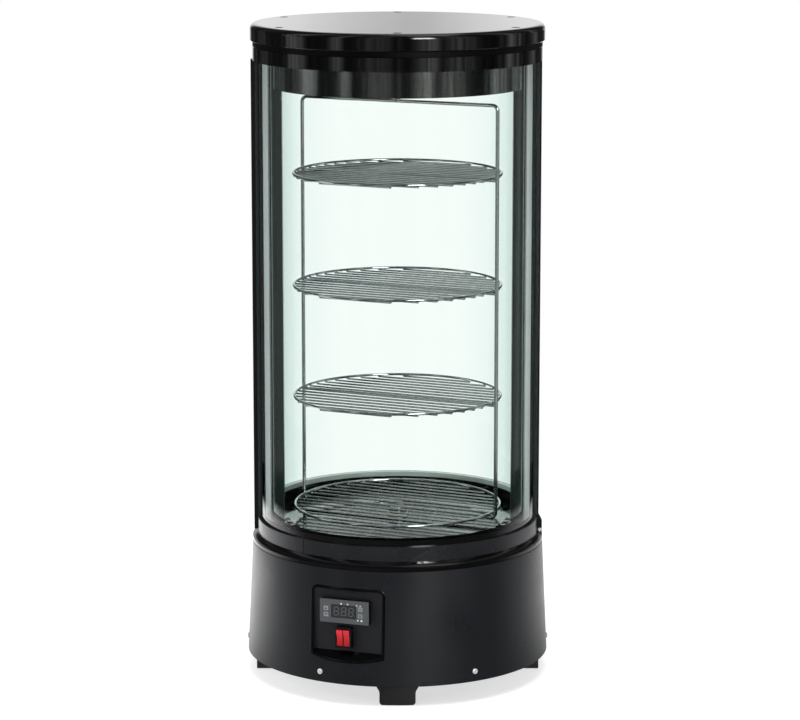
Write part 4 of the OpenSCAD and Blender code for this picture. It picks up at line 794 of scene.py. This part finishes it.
# Fixed glass
# Two panes of bent float glass, sealed into one unit with a spacer between them. The glass is
# faintly green, wiped clean with a little haze left. Black ceramic frit is fired round its foot.
def float_glass(name, tint, frit_top=None):
    """Clear float glass. Its reflection is 0.003 + 0.6 times the cube of (1 - cosine), and lamp
    rays pass straight through it, so that it lets light into the case. Below frit_top, in metres of
    Object Z, it is painted black if that height is given."""
    patches_per_m = 14
    made, tree = blank(name)
    at = add(tree, "TexCoord").outputs["Object"]
    cloth = add(tree, "Mapping", {"Vector": at, "Scale": (1.0, 1.0, 0.3)}).outputs[0]
    haze = add(tree, "TexNoise",
        {"Vector": cloth, "Scale": patches_per_m, "Detail": 3.0}).outputs[0]
    worn = add(tree, "MapRange", {0: haze, 1: 0.45, 2: 0.75, 3: 0.0, 4: 0.03}).outputs[0]
    aside = add(tree, "LayerWeight", {"Blend": 0.5}).outputs["Facing"]
    cubed = add(tree, "Math", {0: aside, 1: 3.0}, operation="POWER").outputs[0]
    share = add(tree, "Math", {0: cubed, 1: 0.6, 2: 0.003}, operation="MULTIPLY_ADD").outputs[0]
    slant = add(tree, "MapRange", {0: aside, 1: 0.08, 2: 0.5}, **eased).outputs[0]
    green = add(tree, "Mix", {0: slant, 6: linear(tint), 7: linear("#fafefd")}, data_type="RGBA")
    clear = add(tree, "BsdfRefraction", {"Color": green.outputs[2], "Roughness": 0.0, "IOR": 1.46})
    shine = add(tree, "BsdfGlossy", {"Color": white, "Roughness": worn})
    both = add(tree, "MixShader", {0: share, 1: clear.outputs[0], 2: shine.outputs[0]})
    lamp_ray = add(tree, "LightPath").outputs["Is Shadow Ray"]
    through = add(tree, "BsdfTransparent", {0: linear("#f2f7f5")})
    pane = add(tree, "MixShader", {0: lamp_ray, 1: both.outputs[0], 2: through.outputs[0]})
    if frit_top is not None:
        height = add(tree, "SeparateXYZ", {0: at}).outputs["Z"]
        above = add(tree, "Math", {0: height, 1: frit_top}, operation="GREATER_THAN").outputs[0]
        frit = add(tree, "BsdfPrincipled", {"Base Color": linear("#0b0b0c"), "Roughness": 0.12})
        pane = add(tree, "MixShader", {0: above, 1: frit.outputs[0], 2: pane.outputs[0]})
    add(tree, "OutputMaterial", {0: pane.outputs[0]})
    return made


dress(float_glass("float_glass_with_frit", "#fefffe", frit_top=0.243), "front_pane_outer",
    "front_pane_inner")


# Spacers
# Roll-formed aluminium tube with its visible face pierced in a row of pinholes, through which the
# desiccant dries the air between the panes, and a bead of black butyl against the outer pane.
def pierced(name, row_y, butyl_from):
    """Satin aluminium with a row of dark pinholes along Object Z at row_y in Object Y, one each
    pitch_mm and hole_mm across. Beyond the radius butyl_from it is black sealant."""
    pitch_mm, hole_mm, marks_per_m = 3.0, 1.1, 240
    made, tree = blank(name)
    at = add(tree, "TexCoord").outputs["Object"]
    part = add(tree, "SeparateXYZ", {0: at}).outputs
    step = add(tree, "Math", {0: part["Z"], 1: pitch_mm / 1000}, operation="DIVIDE").outputs[0]
    step = add(tree, "Math", {0: step}, operation="FRACT").outputs[0]
    dz = add(tree, "Math", {0: step, 1: 0.5}, operation="SUBTRACT").outputs[0]
    dz = add(tree, "Math", {0: dz, 1: pitch_mm / 1000}, operation="MULTIPLY").outputs[0]
    dy = add(tree, "Math", {0: part["Y"], 1: row_y}, operation="SUBTRACT").outputs[0]
    off = add(tree, "CombineXYZ", {0: dy, 1: dz}).outputs[0]
    off = add(tree, "VectorMath", {0: off}, operation="LENGTH").outputs["Value"]
    hole = add(tree, "Math", {0: off, 1: hole_mm / 2000}, operation="LESS_THAN").outputs[0]
    brushed = add(tree, "TexNoise",
        {"Vector": at, "Scale": marks_per_m, "Detail": 3.0}).outputs[0]
    plain = add(tree, "Mix", {0: brushed, 6: linear("#eef2f4"), 7: linear("#fafcfd")},
        data_type="RGBA")
    tone = add(tree, "Mix", {0: hole, 6: plain.outputs[2], 7: linear("#4a4c4e")}, data_type="RGBA")
    out = add(tree, "VectorMath", {0: at, 1: (1.0, 1.0, 0.0)}, operation="MULTIPLY").outputs[0]
    out = add(tree, "VectorMath", {0: out}, operation="LENGTH").outputs["Value"]
    butyl = add(tree, "Math", {0: out, 1: butyl_from}, operation="GREATER_THAN").outputs[0]
    tone = add(tree, "Mix", {0: butyl, 6: tone.outputs[2], 7: linear("#0c0c0d")}, data_type="RGBA")
    shade = add(tree, "BsdfPrincipled",
        {"Base Color": tone.outputs[2], "Roughness": 0.42, "Metallic": 0.1})
    add(tree, "OutputMaterial", {0: shade.outputs[0]})
    return made


dress(pierced("pierced_spacer", row_y=-0.008, butyl_from=0.198), "front_spacer")

# Side posts
# Extruded aluminium posts between the fixed glass and the door, screwed to the deck, with a dark
# metallic powder coat. Its flecks are too fine to tell apart and give the grey a soft sheen.
flecks_per_m = 1500
post_coat, t = blank("graphite_powder")
at = add(t, "TexCoord").outputs["Object"]
fleck = add(t, "TexVoronoi", {"Vector": at, "Scale": flecks_per_m})
cell = add(t, "SeparateXYZ", {0: fleck.outputs["Color"]}).outputs
tone = add(t, "Mix", {0: cell["X"], 6: linear("#2a3231"), 7: linear("#3d4645")}, data_type="RGBA")
shade = add(t, "BsdfPrincipled",
    {"Base Color": tone.outputs[2], "Roughness": 0.3, "Metallic": 0.35})
add(t, "OutputMaterial", {0: shade.outputs[0]})
dress(post_coat, "post_left", "post_right")

# Head
# The ring and the cap are moulded in the same polished black ABS as the deck, which mirrors the
# studio sharply, with a dull, satin-coated groove ring between them.
dress(grained("polished_black_abs", "#050506", "#08080a", 0.07, grain_mm=40, relief_mm=0.03,
    patch_mm=120), "upper_ring", "top_cap")
dress(grained("groove_powder", "#040405", "#060607", 0.4, grain_mm=1.6, relief_mm=0.01,
    specular=0.1), "cap_spacer")

# Cap screws
# Six pan-head screws with a cross recess, sunk in the cap. Black oxide leaves them dark and dull,
# with no shine of their own.
screw_ring_r, screw_seat_z = 0.195, 0.9661
head, faces = cross_head(radius=0.006, height=0.0039, recess=0.0019, arm=0.0016)
places = [axes_at((screw_ring_r * math.cos(a), screw_ring_r * math.sin(a), screw_seat_z),
    (1, 0, 0), (0, 1, 0), (0, 0, 1)) for a in np.radians(np.arange(6) * 60 + 90)]
black_oxide = clouded("black_oxide_steel", "#050506", "#0a0b0c", clouds_per_m=700, smooth=0.5,
    rough=0.65, specular=0.0)
heads = piece("cap_screw_heads", many("cap_screw_heads", head, faces, places), "cabinet",
    black_oxide)
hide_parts("cap_screws")

# Ceiling
# A deep drawn housing with a wet-looking black enamel. Drawing left soft, wide ripples and fine
# upright lines in its side, which break up its reflections. An opal diffuser closes the lamp.
waves_per_m, wave_relief_mm, lines_per_m, line_relief_mm = 22, 1.6, 150, 0.22
enamel, t = blank("black_ceiling_enamel")
at = add(t, "TexCoord").outputs["Object"]
flat = add(t, "Mapping", {"Vector": at, "Scale": (1.0, 1.0, 0.5)}).outputs[0]
wave = add(t, "TexNoise", {"Vector": flat, "Scale": waves_per_m, "Detail": 1.0}).outputs[0]
lift = add(t, "Bump",
    {"Height": wave, "Distance": wave_relief_mm / 1000, "Strength": 0.5}).outputs[0]
upright = add(t, "Mapping", {"Vector": at, "Scale": (1.0, 1.0, 0.06)}).outputs[0]
lines = add(t, "TexNoise", {"Vector": upright, "Scale": lines_per_m, "Detail": 2.0}).outputs[0]
lift = add(t, "Bump", {"Height": lines, "Distance": line_relief_mm / 1000, "Strength": 1.0,
    "Normal": lift})
tone = add(t, "Mix", {0: wave, 6: linear("#0b0c0d"), 7: linear("#121315")}, data_type="RGBA")
shade = add(t, "BsdfPrincipled", {"Base Color": tone.outputs[2], "Roughness": 0.08,
    "Normal": lift.outputs[0], "Specular IOR Level": 0.9, "Coat Weight": 1.0,
    "Coat Roughness": 0.03})
add(t, "OutputMaterial", {0: shade.outputs[0]})
dress(enamel, "ceiling_housing")
dress(grained("opal_acrylic", "#dfe2e0", "#ebedeb", 0.35, grain_mm=2.0, relief_mm=0.004),
    "ceiling_light")

# Door
# A curved sealed unit in a frame of black anodised rails and stiles, with a soft gasket of PVC and
# two steel pins. Its lower pin stands in a black bracket.
dress(float_glass("float_glass", "#feffff"), "door_pane_outer", "door_pane_inner")
dress(pierced("pierced_door_spacer", row_y=0.029, butyl_from=0.206), "door_spacer")
dress(grained("black_anodised", "#101113", "#15161a", 0.26, grain_mm=1.0, relief_mm=0.004,
    patch_mm=50), "door_rails", "door_stile_hinge", "door_stile_handle", "hinge_bracket")
dress(grained("gasket_pvc", "#0c0c0d", "#131314", 0.6, grain_mm=1.4, relief_mm=0.02),
    "door_gasket")
dress(zinc, "hinge_pins")

# Turning rack
# Steel wire, bent and spot welded, then nickel and chrome plated, so it mirrors the studio. Each
# shelf is a ring with parallel wires under it, and each crossing has the squeezed bead of its weld.
plated = clouded("plated_wire", "#b2babb", "#e2e6e7", clouds_per_m=120, smooth=0.05,
    rough=0.14, metallic=1.0, detail=4.0)
dress(plated, "rack_frame", "shelf_1", "shelf_2", "shelf_3", "shelf_4")


def bead(long, wide, tall):
    """Points and faces of an ellipsoid: x = long cos(p) cos(a), y = wide cos(p) sin(a),
    z = tall sin(p), with p from pole to pole."""
    rows, sides = 5, 8
    p = np.linspace(-math.pi / 2, math.pi / 2, rows + 2)[1:-1]
    a = np.linspace(0, 2 * math.pi, sides, endpoint=False)
    grid = np.stack([long * np.outer(np.cos(p), np.cos(a)), wide * np.outer(np.cos(p), np.sin(a)),
        tall * np.outer(np.sin(p), np.ones(sides))], -1).reshape(-1, 3)
    k = np.arange(sides)
    after, up = (k + 1) % sides, np.arange(rows - 1)[:, None] * sides
    quads = np.stack([up + k, up + after, up + sides + after, up + sides + k], -1).reshape(-1, 4)
    top, pole = (rows - 1) * sides, np.full(sides, rows * sides)
    fans = np.concatenate([np.stack([pole, after, k], 1),
        np.stack([pole + 1, top + k, top + after], 1)])
    return np.concatenate([grid, [(0, 0, -tall), (0, 0, tall)]]), [quads, fans]


rack_turn = math.radians(-25)
ring_centre, wire_d, bead_sunk = 0.1533, 0.004, 0.0002
first_wire, wire_pitch = 0.0117, 0.0187
lowest_shelf, shelf_pitch = 0.2524, 0.166
rows = np.array([s * (first_wire + k * wire_pitch) for k in range(8) for s in (-1, 1)])
half = np.sqrt(ring_centre ** 2 - rows ** 2)
places = []
for level in lowest_shelf + shelf_pitch * np.arange(4) - wire_d / 2 + bead_sunk:
    for side in (-1, 1):
        for a in np.arctan2(rows, side * half) + rack_turn:
            x, y = math.cos(a), math.sin(a)
            places.append(axes_at((ring_centre * x, ring_centre * y, level), (-y, x, 0),
                (-x, -y, 0), (0, 0, 1)))
template, faces = bead(long=0.0023, wide=0.0013, tall=0.0009)
piece("weld_beads", many("weld_beads", template, faces, places), "rack", plated)
